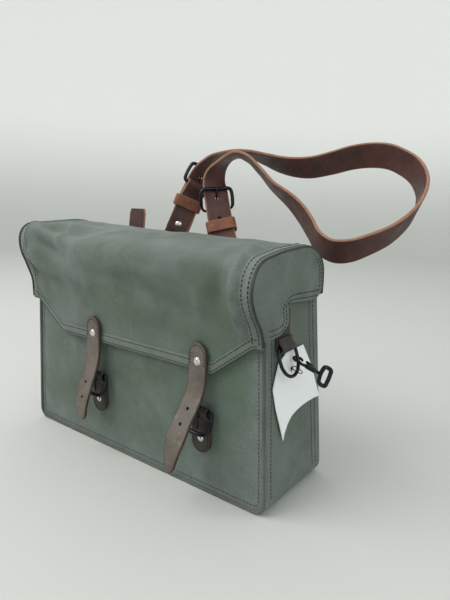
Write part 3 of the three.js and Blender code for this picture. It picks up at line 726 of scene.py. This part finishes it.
def make_body_stitches():
    panels = [seam_run(SEAM_INSET, front_face, (0, -1, 0)), seam_run(SEAM_INSET, back_face, (0, 1, 0))]
    ends = []
    for sign in (-1, 1):
        for reach in (6.0, -6.0, -13.0):
            row = []
            for z in np.arange(CORNER, HEIGHT - 4, 2.0):
                near, far = gusset_depth(z)
                y = near + reach if reach > 0 else far + reach
                pull = gusset_pull(sign, y, z, (y - near) / (far - near))
                row.append((sign * (half_width(z) - pull + 0.05), y, z))
            ends.append((row, [(sign, 0, 0)] * len(row)))
    stitches("body_thread", panels, BROWN_THREAD, "bag_body", "seam_trim")
    stitches("gusset_thread", ends, BROWN_THREAD, "bag_body", "seam_trim")


# ---------- lid ----------
LID_HALF = 163.5
HEM, HEM_CORNER, HEM_FLAT, HEM_CUT = 122, 155, 110, 154
LID_PROFILE = [
    (-57.6, 122), (-58.6, 152), (-62, 172), (-68, 194), (-72, 212), (-71, 224), (-64, 232),
    (-45, 237), (-15, 240), (11, 240), (28, 234), (38.5, 222), (41.3, 206), (41, 189.5),
]
LID_CURVE = evenly([(0, y, z) for y, z in LID_PROFILE], 0.5)
LID_TRAVEL = lengths(LID_CURVE)
LID_TANGENT = tangents(LID_CURVE)
LID_LENGTH = LID_TRAVEL[-1]
FOLD_GAIN = 2.5

# Soft folds in the lid: start and end as (x, distance from the hem), half width, height.
LID_FOLDS = [
    ((142, 34), (144, 112), 5.5, 2.9), ((144, 112), (134, 152), 6.0, 2.4),
    ((122, 62), (125, 128), 8.0, -2.0),
    ((-168, 96), (-112, 66), 7.0, 2.0), ((-165, 80), (-120, 44), 7.0, -1.6),
    ((-166, 118), (-96, 108), 8.0, 2.2), ((-150, 106), (-86, 88), 6.0, -1.8),
    ((-140, 128), (-70, 140), 8.0, 2.4), ((-128, 118), (-60, 120), 7.0, -1.8),
    ((-100, 132), (-92, 96), 6.0, 1.4), ((-60, 78), (30, 62), 13.0, -1.5),
    ((-20, 96), (80, 86), 12.0, 1.3), ((60, 60), (120, 44), 9.0, -1.3), ((94, 36), (104, 84), 8.0, 1.2),
    ((-54, 34), (-58, 84), 9.0, 1.0), ((150, 20), (112, 32), 6.0, 1.1), ((-30, 40), (20, 30), 9.0, -0.7),
]


def hem_start(x):
    """Distance up from the lowest hem to the lid's edge: level, then rising to cut corners."""
    return (HEM_CORNER - HEM) * min(max((abs(x) - HEM_FLAT) / (HEM_CUT - HEM_FLAT), 0), 1)


def fold_height(x, reach):
    total = 0.0
    for (x0, s0), (x1, s1), width, height in LID_FOLDS:
        run = np.array((x1 - x0, s1 - s0), float)
        t = ((x - x0) * run[0] + (reach - s0) * run[1]) / (run @ run)
        held = min(max(t, 0), 1)
        gap = math.hypot(x - x0 - held * run[0], reach - s0 - held * run[1])
        ends = math.sin(math.pi * min(max(0.08 + 0.84 * held, 0), 1)) ** 0.7
        total += height * ends * math.exp(-(gap / width) ** 2)
    return total


def lid_corner(x, reach):
    """The lid pushes forwards at its right shoulder, and at its left is rounded and slumps outwards."""
    edge = LID_HALF - abs(x)
    if x > 0:
        return 9.5 * math.exp(-(edge / 24) ** 2) * math.exp(-((reach - 80) / 25) ** 2)
    slump = 3.5 * math.exp(-(edge / 30) ** 2) * math.exp(-((reach - 112) / 20) ** 2)
    return slump - 3.5 * math.exp(-(edge / 9) ** 2) * math.exp(-((reach - 52) / 26) ** 2)


def lid_relief(x, reach):
    """How far the lid's surface stands out of its plain profile."""
    free = smooth(reach, 30, 62) * (1 - smooth(reach, LID_LENGTH - 45, LID_LENGTH - 12))
    edge = LID_HALF - abs(x)
    hollow = -2.5 * math.exp(-((x - 10) / 80) ** 2) * math.exp(-((reach - 60) / 22) ** 2)
    waves = 2.2 * bumpy(x, reach, 62, 11) + 1.1 * bumpy(x, reach, 26, 12) + 0.4 * bumpy(x, reach, 12, 15)
    pucker = 0.55 * math.exp(-((edge - 16) / 7) ** 2) * math.sin(reach / 2.6 + 3 * bumpy(reach, x, 20, 16))
    seam = 1 - 0.8 * smooth(abs(x), LID_HALF - 12, LID_HALF - 2)
    folded = FOLD_GAIN * fold_height(x, reach)
    small = 0.22 * bumpy(x, reach, 9, 13) * smooth(reach, 26, 50)
    return free * (lid_corner(x, reach) + hollow + pucker + seam * (waves + folded)) + small


def lid_point(x, reach, lift=0.0):
    """A point on the lid: x, and the distance round its profile from the lowest hem."""
    y, z = (np.interp(reach, LID_TRAVEL, LID_CURVE[:, axis]) for axis in (1, 2))
    dy, dz = (np.interp(reach, LID_TRAVEL, LID_TANGENT[:, axis]) for axis in (1, 2))
    out = lift + lid_relief(x, reach)
    top = smooth(z, 195, 232) * (1.2 - 0.028 * x)
    return np.array((x, y - dz * out, z + dy * out + top))


def lid_out(reach):
    dy, dz = (np.interp(reach, LID_TRAVEL, LID_TANGENT[:, axis]) for axis in (1, 2))
    return (0, -dz, dy)


def lid_wear_and_ridge_highlight(x, reach):
    side = smooth(abs(x), LID_HALF - 36, LID_HALF - 10)
    # Rubbed paler near the side seams and the hem, and painted paler on the raised fold ridges as a
    # highlight.
    return 0.45 * side + 0.5 * smooth(fold_height(x, reach), 0.6, 2.2) + 0.25 * (1 - smooth(reach, 8, 40))


def make_lid():
    across = np.linspace(-LID_HALF, LID_HALF, 124)
    shares = np.linspace(0, 1, 106)
    outer, inner, worn = [], [], []
    for x in across:
        start = hem_start(x)
        reach = start + (LID_LENGTH - start) * shares
        outer.append([lid_point(x, s) for s in reach])
        inner.append([lid_point(x, s, -PANEL) for s in reach])
        # Per-point paleness: rubbing at seams and hem, plus a painted highlight on the fold ridges.
        row = [lid_wear_and_ridge_highlight(x, s) for s in reach]
        worn.append(row + row[::-1])
    rings = sheet_rings(np.array(outer), np.array(inner))
    piece = skin("lid_canvas", rings, [CANVAS], wear_and_highlight=np.array(worn))
    settle(piece, "lid", "canvas", "flap_panel")


HEM_STRIP, SEAM_STRIP = 11.0, 11.5
STRIP_LIFT, STRIP_THICK, THREAD_LIFT = 1.0, 0.85, 1.05


def lid_band(name, path, half, *nodes):
    """A flat strip sewn on the lid. path lists (x, reach) and the strip's own width direction there."""
    rings = []
    for x, reach, side_x, side_reach in path:
        row = []
        for u in np.linspace(-1, 1, 7):
            edge = 0.65 * max(abs(u) - 0.7, 0) / 0.3
            row.append(lid_point(x + side_x * half * u, reach + side_reach * half * u, STRIP_LIFT - edge))
        below = [lid_point(x + side_x * half * u, reach + side_reach * half * u, STRIP_LIFT - STRIP_THICK)
                 for u in np.linspace(1, -1, 7)]
        rings.append(row + below)
    size = len(rings[0])
    piece = skin(name, rings, [HEM_CANVAS], wear_and_highlight=np.full((len(rings), size), 0.5), crease=60)
    settle(piece, "lid", "canvas_hem", *nodes)


def make_hem():
    xs = np.concatenate([np.arange(-LID_HALF + 0.5, LID_HALF, 3.0), [LID_HALF - 0.5]])
    path = [(x, hem_start(x) + HEM_STRIP / 2 + 0.2, 0, 1) for x in xs]
    lid_band("lid_hem_strip", path, HEM_STRIP / 2, "flap_hem")
    runs = []
    for inset in (2.4, HEM_STRIP - 2.2):
        points = [lid_point(x, hem_start(x) + inset, THREAD_LIFT) for x in xs[1:-1]]
        runs.append((points, [lid_out(hem_start(x) + inset) for x in xs[1:-1]]))
    stitches("hem_thread", runs, DARK_THREAD, "lid", "canvas_hem")


def make_side_strips():
    runs = []
    reaches = np.arange(hem_start(HEM_CUT) + 2, LID_LENGTH - 2, 3.0)
    for side, sign in SIDES:
        place = sign * (LID_HALF - SEAM_STRIP / 2 - 0.8)
        lid_band(f"lid_seam_strip_{side}", [(place, s, sign, 0) for s in reaches], SEAM_STRIP / 2)
        for inset in (2.6, SEAM_STRIP - 1.8):
            x = sign * (LID_HALF - inset)
            runs.append(([lid_point(x, s, THREAD_LIFT) for s in reaches], [lid_out(s) for s in reaches]))
    stitches("lid_seam_thread", runs, DARK_THREAD, "lid", "canvas_hem")


EAR_OUTER = 165.2
EAR_LOWER = [
    (34, 190), (30, 187.5), (-24.5, 190), (-23.5, 188), (-21, 172), (-23, 170), (-34, 163.5), (-50, 162),
]


def ear_surface(sign):
    edge = [lid_point(sign * LID_HALF, s, -1.0) for s in np.arange(40, LID_LENGTH - 2, 4)]
    outline = [(p[1], p[2]) for p in edge] + EAR_LOWER
    border = np.array(outline)

    def place(y, z, depth=0.0):
        gap = float(np.min(np.hypot(border[:, 0] - y, border[:, 1] - z)))
        full = smooth(gap, 0, 26)
        free = smooth(z, 160, 195)
        swell = full if sign > 0 else 0.35 * full
        puff = swell * (2.2 + 1.4 * bumpy(y, z, 26, 20 + sign)) * (0.4 + 0.6 * free)
        return (sign * (EAR_OUTER + puff - depth), y, z)
    return outline, place


def make_ears():
    runs = []
    for side, sign in SIDES:
        outline, place = ear_surface(sign)
        piece = slab(f"lid_ear_{side}_canvas", outline, place, 1.2, 3.6, [CANVAS],
                     lambda y, z: 0.3 + 0.4 * smooth(bumpy(y, z, 20, 9), 0, 0.5))
        settle(piece, "lid", "canvas", f"flap_ear_{side}")
        lower = [[(33, 187.5 + inset), (-20.5, 189.5 + inset * 0.8), (-25 - inset, 187),
                  (-23 - inset, 172 + inset * 0.4), (-34, 164 + inset), (-54, 162.8 + inset)]
                 for inset in (2.5, 7.5)]
        back = [[(37 - inset, 192), (37.3 - inset, 204), (34.5 - inset, 218), (27 - inset, 227)]
                for inset in (0, 5.5)]
        for path in lower + back:
            line = [place(p[1], p[2]) for p in evenly([(0, y, z) for y, z in path], 2.0)]
            runs.append((line, [(sign, 0, 0)] * len(line)))
        welt = [lid_point(sign * LID_HALF, s, 0.0) + np.array((sign * 0.9, 0, 0))
                for s in np.arange(36, LID_LENGTH - 1, 5)]
        cord = rod(f"lid_welt_{side}", welt, 1.3, WELT_CANVAS, sides=8, pitch=2.5)
        settle(cord, "lid", "seam_trim", f"ear_welt_{side}")
    stitches("ear_thread", runs, DARK_THREAD, "lid", "canvas_hem")


# ---------- front closures ----------
CLOSURE_WIDTH, CLOSURE_THICK, CLOSURE_Y = 21, 3.0, -61.7
CLOSURE_TOP, CLOSURE_HINGE, CLOSURE_RIVET = 150, 124, 132
CLOSURE_HANG = {
    "left": [(0, 122), (0, 108), (-3, 94), (-9, 78), (-14, 62), (-15, 48), (-14, 36)],
    "right": [(0, 122), (0, 112), (-3, 101), (-10, 89), (-19, 77), (-26, 64), (-31, 49), (-33, 35)],
}
ACROSS = (1, 0, 0)
BUCKLE_Y, BUCKLE_Z, BUCKLE_HALF, BUCKLE_DROP, BUCKLE_LEAN = -57.2, 84, 14.5, 21, 6
CHAPE_BOTTOM, CHAPE_RIVET = 41, 55
HANG_DRIFT, HANG_TOP = 0.05, 122
CLOSURE_HOLE, STRAP_HOLE, TAG_HOLE = 1.5, 2.0, 2.3


def hang_point(x, reach, z):
    """A point of a closure's hanging part, which drifts sideways as it drops."""
    return (x - HANG_DRIFT * (HANG_TOP - z), CLOSURE_Y + reach, z)


def cut_round(piece, centre, radius, direction, depth=12):
    """Punches a round hole through a piece."""
    punch = rod("punch", [np.array(centre) - np.array(direction) * depth / 2,
                          np.array(centre), np.array(centre) + np.array(direction) * depth / 2],
                radius, piece.data.materials[-1], pitch=depth / 3, round_ends=False, sides=14)
    carve(piece, punch)


def carve(piece, tool):
    cut = piece.modifiers.new("cut", "BOOLEAN")
    cut.operation = "DIFFERENCE"
    cut.solver = "EXACT"
    cut.object = tool
    graph = bpy.context.evaluated_depsgraph_get()
    mesh = bpy.data.meshes.new_from_object(piece.evaluated_get(graph))
    piece.modifiers.clear()
    piece.data = mesh
    bpy.data.objects.remove(tool)


def closure_taper(reach, length):
    top = math.sqrt(max(1 - (max(11 - reach, 0) / 11) ** 2, 0.04))
    from_tip = length - reach
    belly = 1 + 0.08 * smooth(from_tip, 60, 20)
    tip = math.sqrt(max(1 - (max(9 - from_tip, 0) / 9) ** 2, 0.03)) * (0.56 + 0.44 * smooth(from_tip, 0, 38))
    return top * tip * belly


def make_closure(side):
    x = middle(f"closure_tab_{side}")[0]
    top = [(x, CLOSURE_Y, z) for z in (CLOSURE_TOP, 142, 134, CLOSURE_HINGE)]
    hang = [hang_point(x, reach, z) for reach, z in CLOSURE_HANG[side][1:]]
    piece = strap(f"closure_{side}_leather", top + hang, ACROSS, CLOSURE_WIDTH, CLOSURE_THICK,
                  [CLOSURE_LEATHER, CLOSURE_EDGE], closure_taper, pitch=1.3)
    for reach, z in CLOSURE_HANG[side][3:5]:
        cut_round(piece, hang_point(x, reach, z), CLOSURE_HOLE, unit(np.array((0, -1.0, 0.35))))
    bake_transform(piece)
    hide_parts(f"closure_tab_{side}", f"closure_strap_{side}")
    face = CLOSURE_Y - CLOSURE_THICK / 2
    head = dome(f"closure_{side}_rivet", (x, face + 0.1, CLOSURE_RIVET), 4.0, 1.9, (0, -1, 0), NICKEL)
    settle(head, "lid", "rivet_metal", f"closure_rivet_{side}")
    half = CLOSURE_WIDTH / 2 - 2.2
    arch = [(x + half * math.cos(a), face, CLOSURE_TOP - 11 + half * math.sin(a))
            for a in np.linspace(0, math.pi, 14)]
    line = evenly([(x + half, face, 127), *arch, (x - half, face, 127)], 1.5)
    stitches(f"closure_{side}_thread", [(line, [(0, -1, 0)] * len(line))], LEATHER_THREAD, "lid",
             "closure_leather", 3.0, 1.9, 0.5)


def chape_taper(reach, length):
    """Both free ends of the folded leather finish in the same half round tongue."""
    near = min(reach, length - reach)
    return math.sqrt(max(1 - (max(10 - near, 0) / 10.5) ** 2, 0.04)) * (1 - 0.12 * smooth(near, 24, 44))


def make_chape(side):
    x = middle(f"buckle_chape_{side}")[0]
    inner = FRONT - 0.3 - 0.8
    outer = inner - 2
    top = BUCKLE_Z
    fold = [(inner, CHAPE_BOTTOM), (inner, 62), (inner, 74), (BUCKLE_Y + 2.4, top - 3.5),
            (BUCKLE_Y + 2.5, top + 0.6), (BUCKLE_Y, top + 2.8), (BUCKLE_Y - 2.5, top + 0.6),
            (BUCKLE_Y - 2.4, top - 3.5), (outer, 74), (outer, 62), (outer, CHAPE_BOTTOM)]
    piece = strap(f"buckle_fold_{side}", [(x, y, z) for y, z in fold], ACROSS, 22, 1.6,
                  [DARK_LEATHER, CLOSURE_EDGE], chape_taper, pitch=1.2)
    slot = [(x, BUCKLE_Y - 1, z) for z in (76.5, 80, 90)]
    carve(piece, strap("slot", slot, ACROSS, 3.6, 10.5, [DARK_LEATHER, CLOSURE_EDGE], pitch=3))
    settle(piece, "bag_body", "closure_leather", f"buckle_chape_{side}")
    face = outer - 0.8
    head = dome(f"buckle_fold_rivet_{side}", (x, face + 0.1, CHAPE_RIVET), 3.6, 1.7, (0, -1, 0), NICKEL)
    settle(head, "bag_body", "rivet_metal", f"chape_rivet_{side}")
    half = 8.6
    line = evenly([(x - half, face, 72), (x - half, face, 52), (x - half * 0.75, face, 45), (x, face, 41.2),
                   (x + half * 0.75, face, 45), (x + half, face, 52), (x + half, face, 72)], 1.5)
    stitches(f"buckle_fold_thread_{side}", [(line, [(0, -1, 0)] * len(line))], LEATHER_THREAD, "bag_body",
             "closure_leather", 2.7, 1.6, 0.36)


def make_front_buckle(side):
    x = middle(f"buckle_frame_{side}")[0]
    half = BUCKLE_HALF
    right = [(half - 2, 0), (half, 0.02), (half + 0.6, 0.35), (half - 0.4, 0.7), (half - 3.5, 0.93)]
    outline = [(0, 0), *right, (0, 1.03), *[(-u, v) for u, v in reversed(right)]]
    route = [(x + u, BUCKLE_Y - BUCKLE_LEAN * v, BUCKLE_Z - BUCKLE_DROP * v) for u, v in outline]
    piece = rod(f"front_buckle_{side}_wire", route, 1.5, BLACK_METAL, closed=True, sides=14,
                swell=lambda p: 1 + 0.45 * smooth(BUCKLE_Z - p[2], 3, 9))
    settle(piece, f"front_buckle_{side}", "black_metal", f"buckle_frame_{side}")
    eye = [(x, BUCKLE_Y + 2.8 * math.cos(a), BUCKLE_Z + 2.8 * math.sin(a))
           for a in np.linspace(-0.5, 4.2, 10)]
    tongue = [(x, BUCKLE_Y - 3.6, BUCKLE_Z - 7), (x, BUCKLE_Y - 3.8, BUCKLE_Z - 12),
              (x, BUCKLE_Y - 3.6, BUCKLE_Z - 17.5)]
    prong = rod(f"front_prong_{side}_wire", eye + tongue, 0.95, BLACK_METAL, sides=10)
    settle(prong, f"front_prong_{side}", "black_metal", f"buckle_prong_{side}")


# ---------- gusset rings, snap hook and tag ----------
SIDE_Y, SIDE_FOLD, RING, RING_WIRE, TILT = -27, 151.5, 14.5, 1.6, math.radians(20)
BAR_X = half_width(SIDE_FOLD) + 4.3
DOWN = (math.sin(TILT), -math.cos(TILT))
HOOK = np.array((BAR_X + DOWN[0] * 14, SIDE_Y + RING - 0.3, SIDE_FOLD + DOWN[1] * 14))
DROOP = math.radians(18)


def make_side_ring(side, sign):
    fold = [(half_width(184) + 1.3, 184), (half_width(168) + 1.3, 168), (half_width(157) + 1.3, 157),
            (BAR_X - 2.9, 153.5), (BAR_X - 2.9, 150.4), (BAR_X, 148.3), (BAR_X + 2.9, 150.4),
            (BAR_X + 2.8, 153.5), (half_width(157) + 4.0, 157), (half_width(161) + 3.7, 161)]
    piece = strap(f"side_fold_{side}", [(sign * x, SIDE_Y, z) for x, z in fold], (0, 1, 0), 22, 2,
                  [DARK_LEATHER, CLOSURE_EDGE], pitch=1.4)
    settle(piece, "bag_body", "strap_leather", f"side_chape_{side}")
    half = [(0, 0), (10.5, 0), (13.2, 1.0), (14.3, 4.5), (14.5, 10)]
    arc = [(RING * math.cos(a), 11 + RING * math.sin(a)) for a in np.radians(np.arange(15, 90, 15))]
    outline = half + arc + [(0, 11 + RING)] + [(-u, v) for u, v in reversed(half[1:] + arc)]
    route = [(sign * (BAR_X + DOWN[0] * v), SIDE_Y + u, SIDE_FOLD + DOWN[1] * v) for u, v in outline]
    ring = rod(f"side_ring_{side}_wire", route, RING_WIRE, BLACK_METAL, closed=True, sides=14)
    settle(ring, f"ring_{side}", "black_metal", f"side_ring_{side}")


def hook_point(along, aside, up=0.0):
    return HOOK + (along * math.cos(DROOP) + up * math.sin(DROOP), aside,
                   up * math.cos(DROOP) - along * math.sin(DROOP))


def make_snap_hook():
    jaw = [hook_point(4 * math.cos(a), 4 * math.sin(a)) for a in np.radians(np.arange(40, 307, 22))]
    shank = [hook_point(7, -4.4), hook_point(10, -3.2), hook_point(14, -2.5), hook_point(22, -2)]
    root = hook_point(7, -4.4)[0]
    neck = hook_point(20, -2)[0]

    def swell(p):
        jaw_end = 0.84 + 0.16 * smooth(p[0], root, root + 3)
        return jaw_end + 0.6 * smooth(p[0], root + 2, root + 5) * (1 - smooth(p[0], neck - 1.5, neck + 0.5))

    body = rod("snap_hook_wire", jaw + shank, 1.5, BLACK_METAL, sides=16, pitch=0.7, swell=swell)
    settle(body, "snap_hook", "black_metal", "snap_hook_body")
    latch = [hook_point(15.5, 2.4), hook_point(11.5, 3.5), hook_point(7.2, 4.2)]
    gate = rod("snap_hook_latch", latch, 1.3, BLACK_METAL, pitch=0.8)
    settle(gate, "hook_gate", "black_metal", "snap_hook_gate")
    outline = [(-4, 3), (-4, -3), (-2.5, -8), (3, -8), (3.8, -4), (3.8, 4), (3, 8), (-2.5, 8)]
    eye = rod("snap_hook_eye", [hook_point(29 + u, -2, v) for u, v in outline], 1.9, BLACK_METAL,
              closed=True, sides=14, pitch=0.8)
    settle(eye, "hook_swivel", "black_metal", "snap_hook_swivel")


TAG_OUTLINE = [
    (-35, 138), (-22, 145), (9, 146), (27, 121), (44, 86), (33, 87.2), (22, 87.4), (10, 87), (-2, 85.5),
    (-12, 82.5), (-19, 77), (-24, 70), (-26, 64), (-32, 80), (-39, 98), (-44, 117),
]


def make_tag():
    def place(y, z, depth=0.0):
        return (half_width(z) + 1.9 - depth, y, z)
    card = slab("tag_paper_card", TAG_OUTLINE, place, 0.7, 5.0, [PAPER])
    cut_round(card, (half_width(128) + 1.5, -12, 128), TAG_HOLE, (1, 0, 0))
    settle(card, "tag", "paper", "tag_card")
    route = [(165.5, -12.9, 128), (169.5, -18, 131.5), (173.2, -21.4, 134.4), (177.3, -20.6, 133),
             (178.6, -16.4, 128.6), (175.6, -13.9, 126.3), (170.5, -12.3, 126.5), (165.5, -11.1, 128)]
    thread = rod("tag_string", route, 0.4, DARK_THREAD, sides=6)
    settle(thread, "ring_right", "paper", "tag_thread")


# ---------- back anchors ----------
BAR_Z, BAR_Y, LOOP_HEIGHT, LOOP_HALF = 171, 49, 9, 18
LOOP_TURN = [(3.2, 7), (3.2, -0.5), (0, -3.3), (-3.2, -0.5), (-3.2, 6), (-2.8, 13)]
TURN_LENGTH = len(LOOP_TURN)


def loop_turn(x):
    return [(x, BAR_Y + dy, BAR_Z + dz) for dy, dz in LOOP_TURN]


def make_anchor(name):
    x = middle(f"anchor_loop_{name}")[0]
    low = BAR_Z - LOOP_HEIGHT
    fold = [(back_at(122) + 1.3, 122), (back_at(136) + 1.3, 136), (back_at(148) + 1.7, 148),
            (BAR_Y - 4.2, low - 5), (BAR_Y - 2.9, low), (BAR_Y, low + 2.8), (BAR_Y + 2.8, low),
            (BAR_Y + 2.2, low - 5), (back_at(148) + 4.3, 148), (back_at(136) + 3.9, 136)]
    piece = strap(f"anchor_fold_{name}", [(x, y, z) for y, z in fold], ACROSS, 26, 2,
                  [STRAP_LEATHER, STRAP_EDGE], pitch=1.4)
    settle(piece, "bag_body", "strap_leather", f"anchor_tab_{name}")
    side = LOOP_HALF + 1.5
    inner = LOOP_HALF - 4
    right = [(inner, low), (LOOP_HALF - 1, low), (side, low + 1.5), (side, BAR_Z - 1.5),
             (LOOP_HALF - 1, BAR_Z), (inner, BAR_Z)]
    outline = [(0, low), *right, (0, BAR_Z), *[(-u, z) for u, z in reversed(right)]]
    loop = rod(f"anchor_wire_{name}", [(x + u, BAR_Y, z) for u, z in outline], 1.5, BLACK_METAL, closed=True)
    settle(loop, "bag_body", "black_metal", f"anchor_loop_{name}")


# ---------- shoulder strap ----------
# Route from the right tip, over the crest, round the hanging loop and down to the left tip.
# Each row: x, y, z, heading of the width from +X, dip below level.
STRAP_ROUTE = [
    (48, 50.5, 208, 12, 0), (41, 52.5, 221, 19, 0), (32, 56, 238, 28, 0), (24, 59.5, 255, 36, 0),
    (13, 65, 283, 46, 0), (7, 69, 299, 64, 0), (11, 72, 313, 88, 0), (21, 73, 322, 110, 4),
    (35, 74, 326, 127, 8), (48, 76, 322, 127, 6), (64, 77, 309, 127, 6), (81, 77, 293, 127, 12),
    (105, 78, 276, 127, 30), (120, 76, 263, 127, 42), (133, 70, 251, 125, 50), (148, 60, 238, 122, 52),
    (167, 53, 231, 120, 52), (186, 51, 233, 120, 50), (203, 55, 240, 122, 48), (219, 64, 250, 125, 46),
    (230, 77, 264, 127, 44), (233, 91, 277, 130, 44), (231, 105, 290, 132, 46), (224, 118, 301, 133, 50),
    (213, 131, 311, 132, 54), (197, 143, 320, 130, 58), (179, 150, 327, 128, 62), (159, 152, 329, 127, 64),
    (139, 149, 327, 127, 64), (118, 142, 321, 127, 62), (97, 133, 316, 127, 56), (80, 127, 316, 127, 46),
    (63, 121, 319, 127, 34), (45, 115, 325, 127, 20), (26, 108, 331, 127, 8), (7, 100, 333, 122, 0),
    (-8, 93, 328, 104, 0), (-17, 87, 317, 82, 0), (-24, 81, 302, 56, 0), (-33, 72, 276, 46, 0),
    (-39, 64.5, 252, 36, 0), (-44, 60.5, 236, 28, 0), (-48, 57, 222, 20, 0),
]
STRAP_WIDTH, STRAP_THICK, LAYER, END_THICK = 28, 3.2, 3.8, 2.4
LAST = len(STRAP_ROUTE) - 1
# Each strap end: its tip's and a crest point's share of the route, heights, and layer direction.
STRAP_ENDS = {
    "left": dict(tip=1, crest=1 - 6 / LAST, hinge=292, top=311, keeper=271, rivet=246, stack=1),
    "right": dict(tip=0, crest=6 / LAST, hinge=268, top=287, keeper=248, rivet=226, stack=-1),
}


def width_direction(heading, dip):
    heading, dip = math.radians(heading), math.radians(dip)
    return (math.cos(heading) * math.cos(dip), math.sin(heading) * math.cos(dip), -math.sin(dip))


STRAP_POINTS = [row[:3] for row in STRAP_ROUTE]
STRAP_ACROSS = [width_direction(*row[3:]) for row in STRAP_ROUTE]


def strap_end_at(end, z):
    """Centre, width, lengthwise and front face directions of a strap end at a height."""
    low, high = end["tip"], end["crest"]
    for _ in range(30):
        half_way = (low + high) / 2
        if spline(STRAP_POINTS, half_way)[2] < z:
            low = half_way
        else:
            high = half_way
    step = 1e-4
    here = min(max(low, step), 1 - step)
    along = unit(spline(STRAP_POINTS, here + step) - spline(STRAP_POINTS, here - step))
    along = along * math.copysign(1, end["crest"] - end["tip"])
    across = spline(STRAP_ACROSS, low)
    across = unit(across - along * (across @ along))
    return spline(STRAP_POINTS, low), across, along, np.cross(across, along)


def strap_taper(reach, length):
    near = min(reach, length - reach)
    return math.sqrt(max(1 - (max(12 - near, 0) / 13) ** 2, 0.04))


def make_shoulder_strap():
    piece = strap("shoulder_strap_leather", STRAP_POINTS, STRAP_ACROSS, STRAP_WIDTH, STRAP_THICK,
                  [STRAP_LEATHER, STRAP_EDGE], strap_taper, pitch=2.0)
    for end in STRAP_ENDS.values():
        for height in (end["top"] - 9, end["hinge"] - 12, end["rivet"] - 8):
            centre, _, _, face = strap_end_at(end, height)
            cut_round(piece, centre, STRAP_HOLE, face, 8)
    settle(piece, "shoulder", "strap_leather", "shoulder_strap")


def make_strap_end(side):
    end = STRAP_ENDS[side]
    stack = end["stack"]
    anchor_x = middle(f"anchor_loop_{side}")[0]

    def place(z, offset):
        centre, _, _, face = strap_end_at(end, z)
        return centre + face * offset * stack

    bar, bar_across, bar_along, bar_face = strap_end_at(end, end["hinge"])

    def near_bar(rise, offset):
        return bar + bar_along * rise + bar_face * offset * stack

    hinge, top, rivet = end["hinge"], end["top"], end["rivet"]
    lowest = STRAP_POINTS[0 if end["tip"] == 0 else -1][2] + 1
    short_layer = [(z, LAYER + STRAP_THICK) for z in (rivet - 7, rivet + 6, hinge - 20)]
    long_layer = [(z, LAYER) for z in (hinge - 10, hinge - 20, (hinge - 20 + lowest) / 2, lowest)]
    fold = [(-11, 7.2), (-5, 9.5), (0, 10.7), (3.8, 7), (0.5, LAYER - 0.2)]
    tail = place(lowest, LAYER)
    points = [place(*spot) for spot in short_layer] + [near_bar(*spot) for spot in fold]
    points += [place(*spot) for spot in long_layer]
    points += [np.array((anchor_x + 0.4 * (tail[0] - anchor_x), BAR_Y + 3.2, 190)),
               *[np.array(p) for p in loop_turn(anchor_x)]]
    across = [strap_end_at(end, z)[1] for z, _ in short_layer] + [bar_across] * len(fold)
    across += [strap_end_at(end, z)[1] for z, _ in long_layer] + [np.array(ACROSS)] * (1 + TURN_LENGTH)
    piece = strap(f"buckle_strap_{side}_leather", points, across, STRAP_WIDTH - 2, END_THICK,
                  [STRAP_LEATHER, STRAP_EDGE], pitch=1.6)
    settle(piece, "shoulder", "strap_leather", f"buckle_strap_{side}")

    _, crest_across, _, _ = strap_end_at(end, top)
    bar_centre, crest_centre = near_bar(0, 7), place(top, -LAYER)
    right = [(14.5, 0), (17.3, 0.1), (17.3, 0.9), (14.5, 1)]
    outline = [(0, 0), *right, (0, 1), *[(-u, v) for u, v in reversed(right)]]
    route = [bar_centre + (crest_centre - bar_centre) * v
             + unit(bar_across + (crest_across - bar_across) * v) * u for u, v in outline]
    wire = rod(f"shoulder_buckle_{side}_wire", route, 1.5, BLACK_METAL, closed=True, sides=14,
               swell=lambda p: 1 + 0.4 * smooth(p[2], bar_centre[2] + 2, bar_centre[2] + 8))
    settle(wire, "shoulder", "black_metal", f"shoulder_buckle_{side}")
    prong = rod(f"shoulder_prong_{side}_wire",
                [near_bar(5.8, 6), near_bar(9, 3.4), place(top - 3, -5.8), place(top + 2.5, -7.1)], 1.1,
                BLACK_METAL, sides=10)
    settle(prong, "shoulder", "black_metal", f"shoulder_prong_{side}")

    centre, across_here, along_here, face = strap_end_at(end, end["keeper"])
    half = [(1, 0.7), (0.93, 1), (0, 1.04), (-0.93, 1), (-1, 0.7)]
    loop = half + [(-u, -v) for u, v in half]
    route = [centre + across_here * u * 16 + face * stack * (3.4 + v * 7.2) for u, v in loop]
    keeper = strap(f"strap_keeper_{side}_leather", route, [along_here] * len(route), 13, 1.5,
                   [KEEPER_LEATHER, STRAP_EDGE], closed=True, pitch=1.2)
    settle(keeper, "shoulder", "keeper_leather", f"strap_keeper_{side}")

    _, _, _, face = strap_end_at(end, rivet)
    seat = place(rivet, LAYER + STRAP_THICK + END_THICK / 2 + 0.05)
    head = dome(f"strap_rivet_{side}_head", seat, 4.0, 1.6, face * stack, NICKEL)
    settle(head, "shoulder", "rivet_metal", f"strap_rivet_{side}")


def make_stub():
    x = middle("anchor_loop_stub")[0]
    points = [(x, 58, 263), (x, 55, 236), (x, 52.8, 208), (x, BAR_Y + 3.2, 189), *loop_turn(x)]
    piece = strap("stub_strap_leather", points, ACROSS, STRAP_WIDTH, END_THICK,
                  [STRAP_LEATHER, STRAP_EDGE], lambda reach, length: min(1, 0.86 + reach / 40), pitch=1.8)
    settle(piece, "stub", "strap_leather", "stub_strap")


make_camera()
make_studio()
make_panels()
make_gusset()
make_piping()
make_body_stitches()
make_lid()
make_hem()
make_side_strips()
make_ears()
for side_name, side_sign in SIDES:
    make_closure(side_name)
    make_chape(side_name)
    make_front_buckle(side_name)
    make_side_ring(side_name, side_sign)
    make_strap_end(side_name)
make_snap_hook()
make_tag()
for anchor in ("left", "right", "stub"):
    make_anchor(anchor)
make_shoulder_strap()
make_stub()
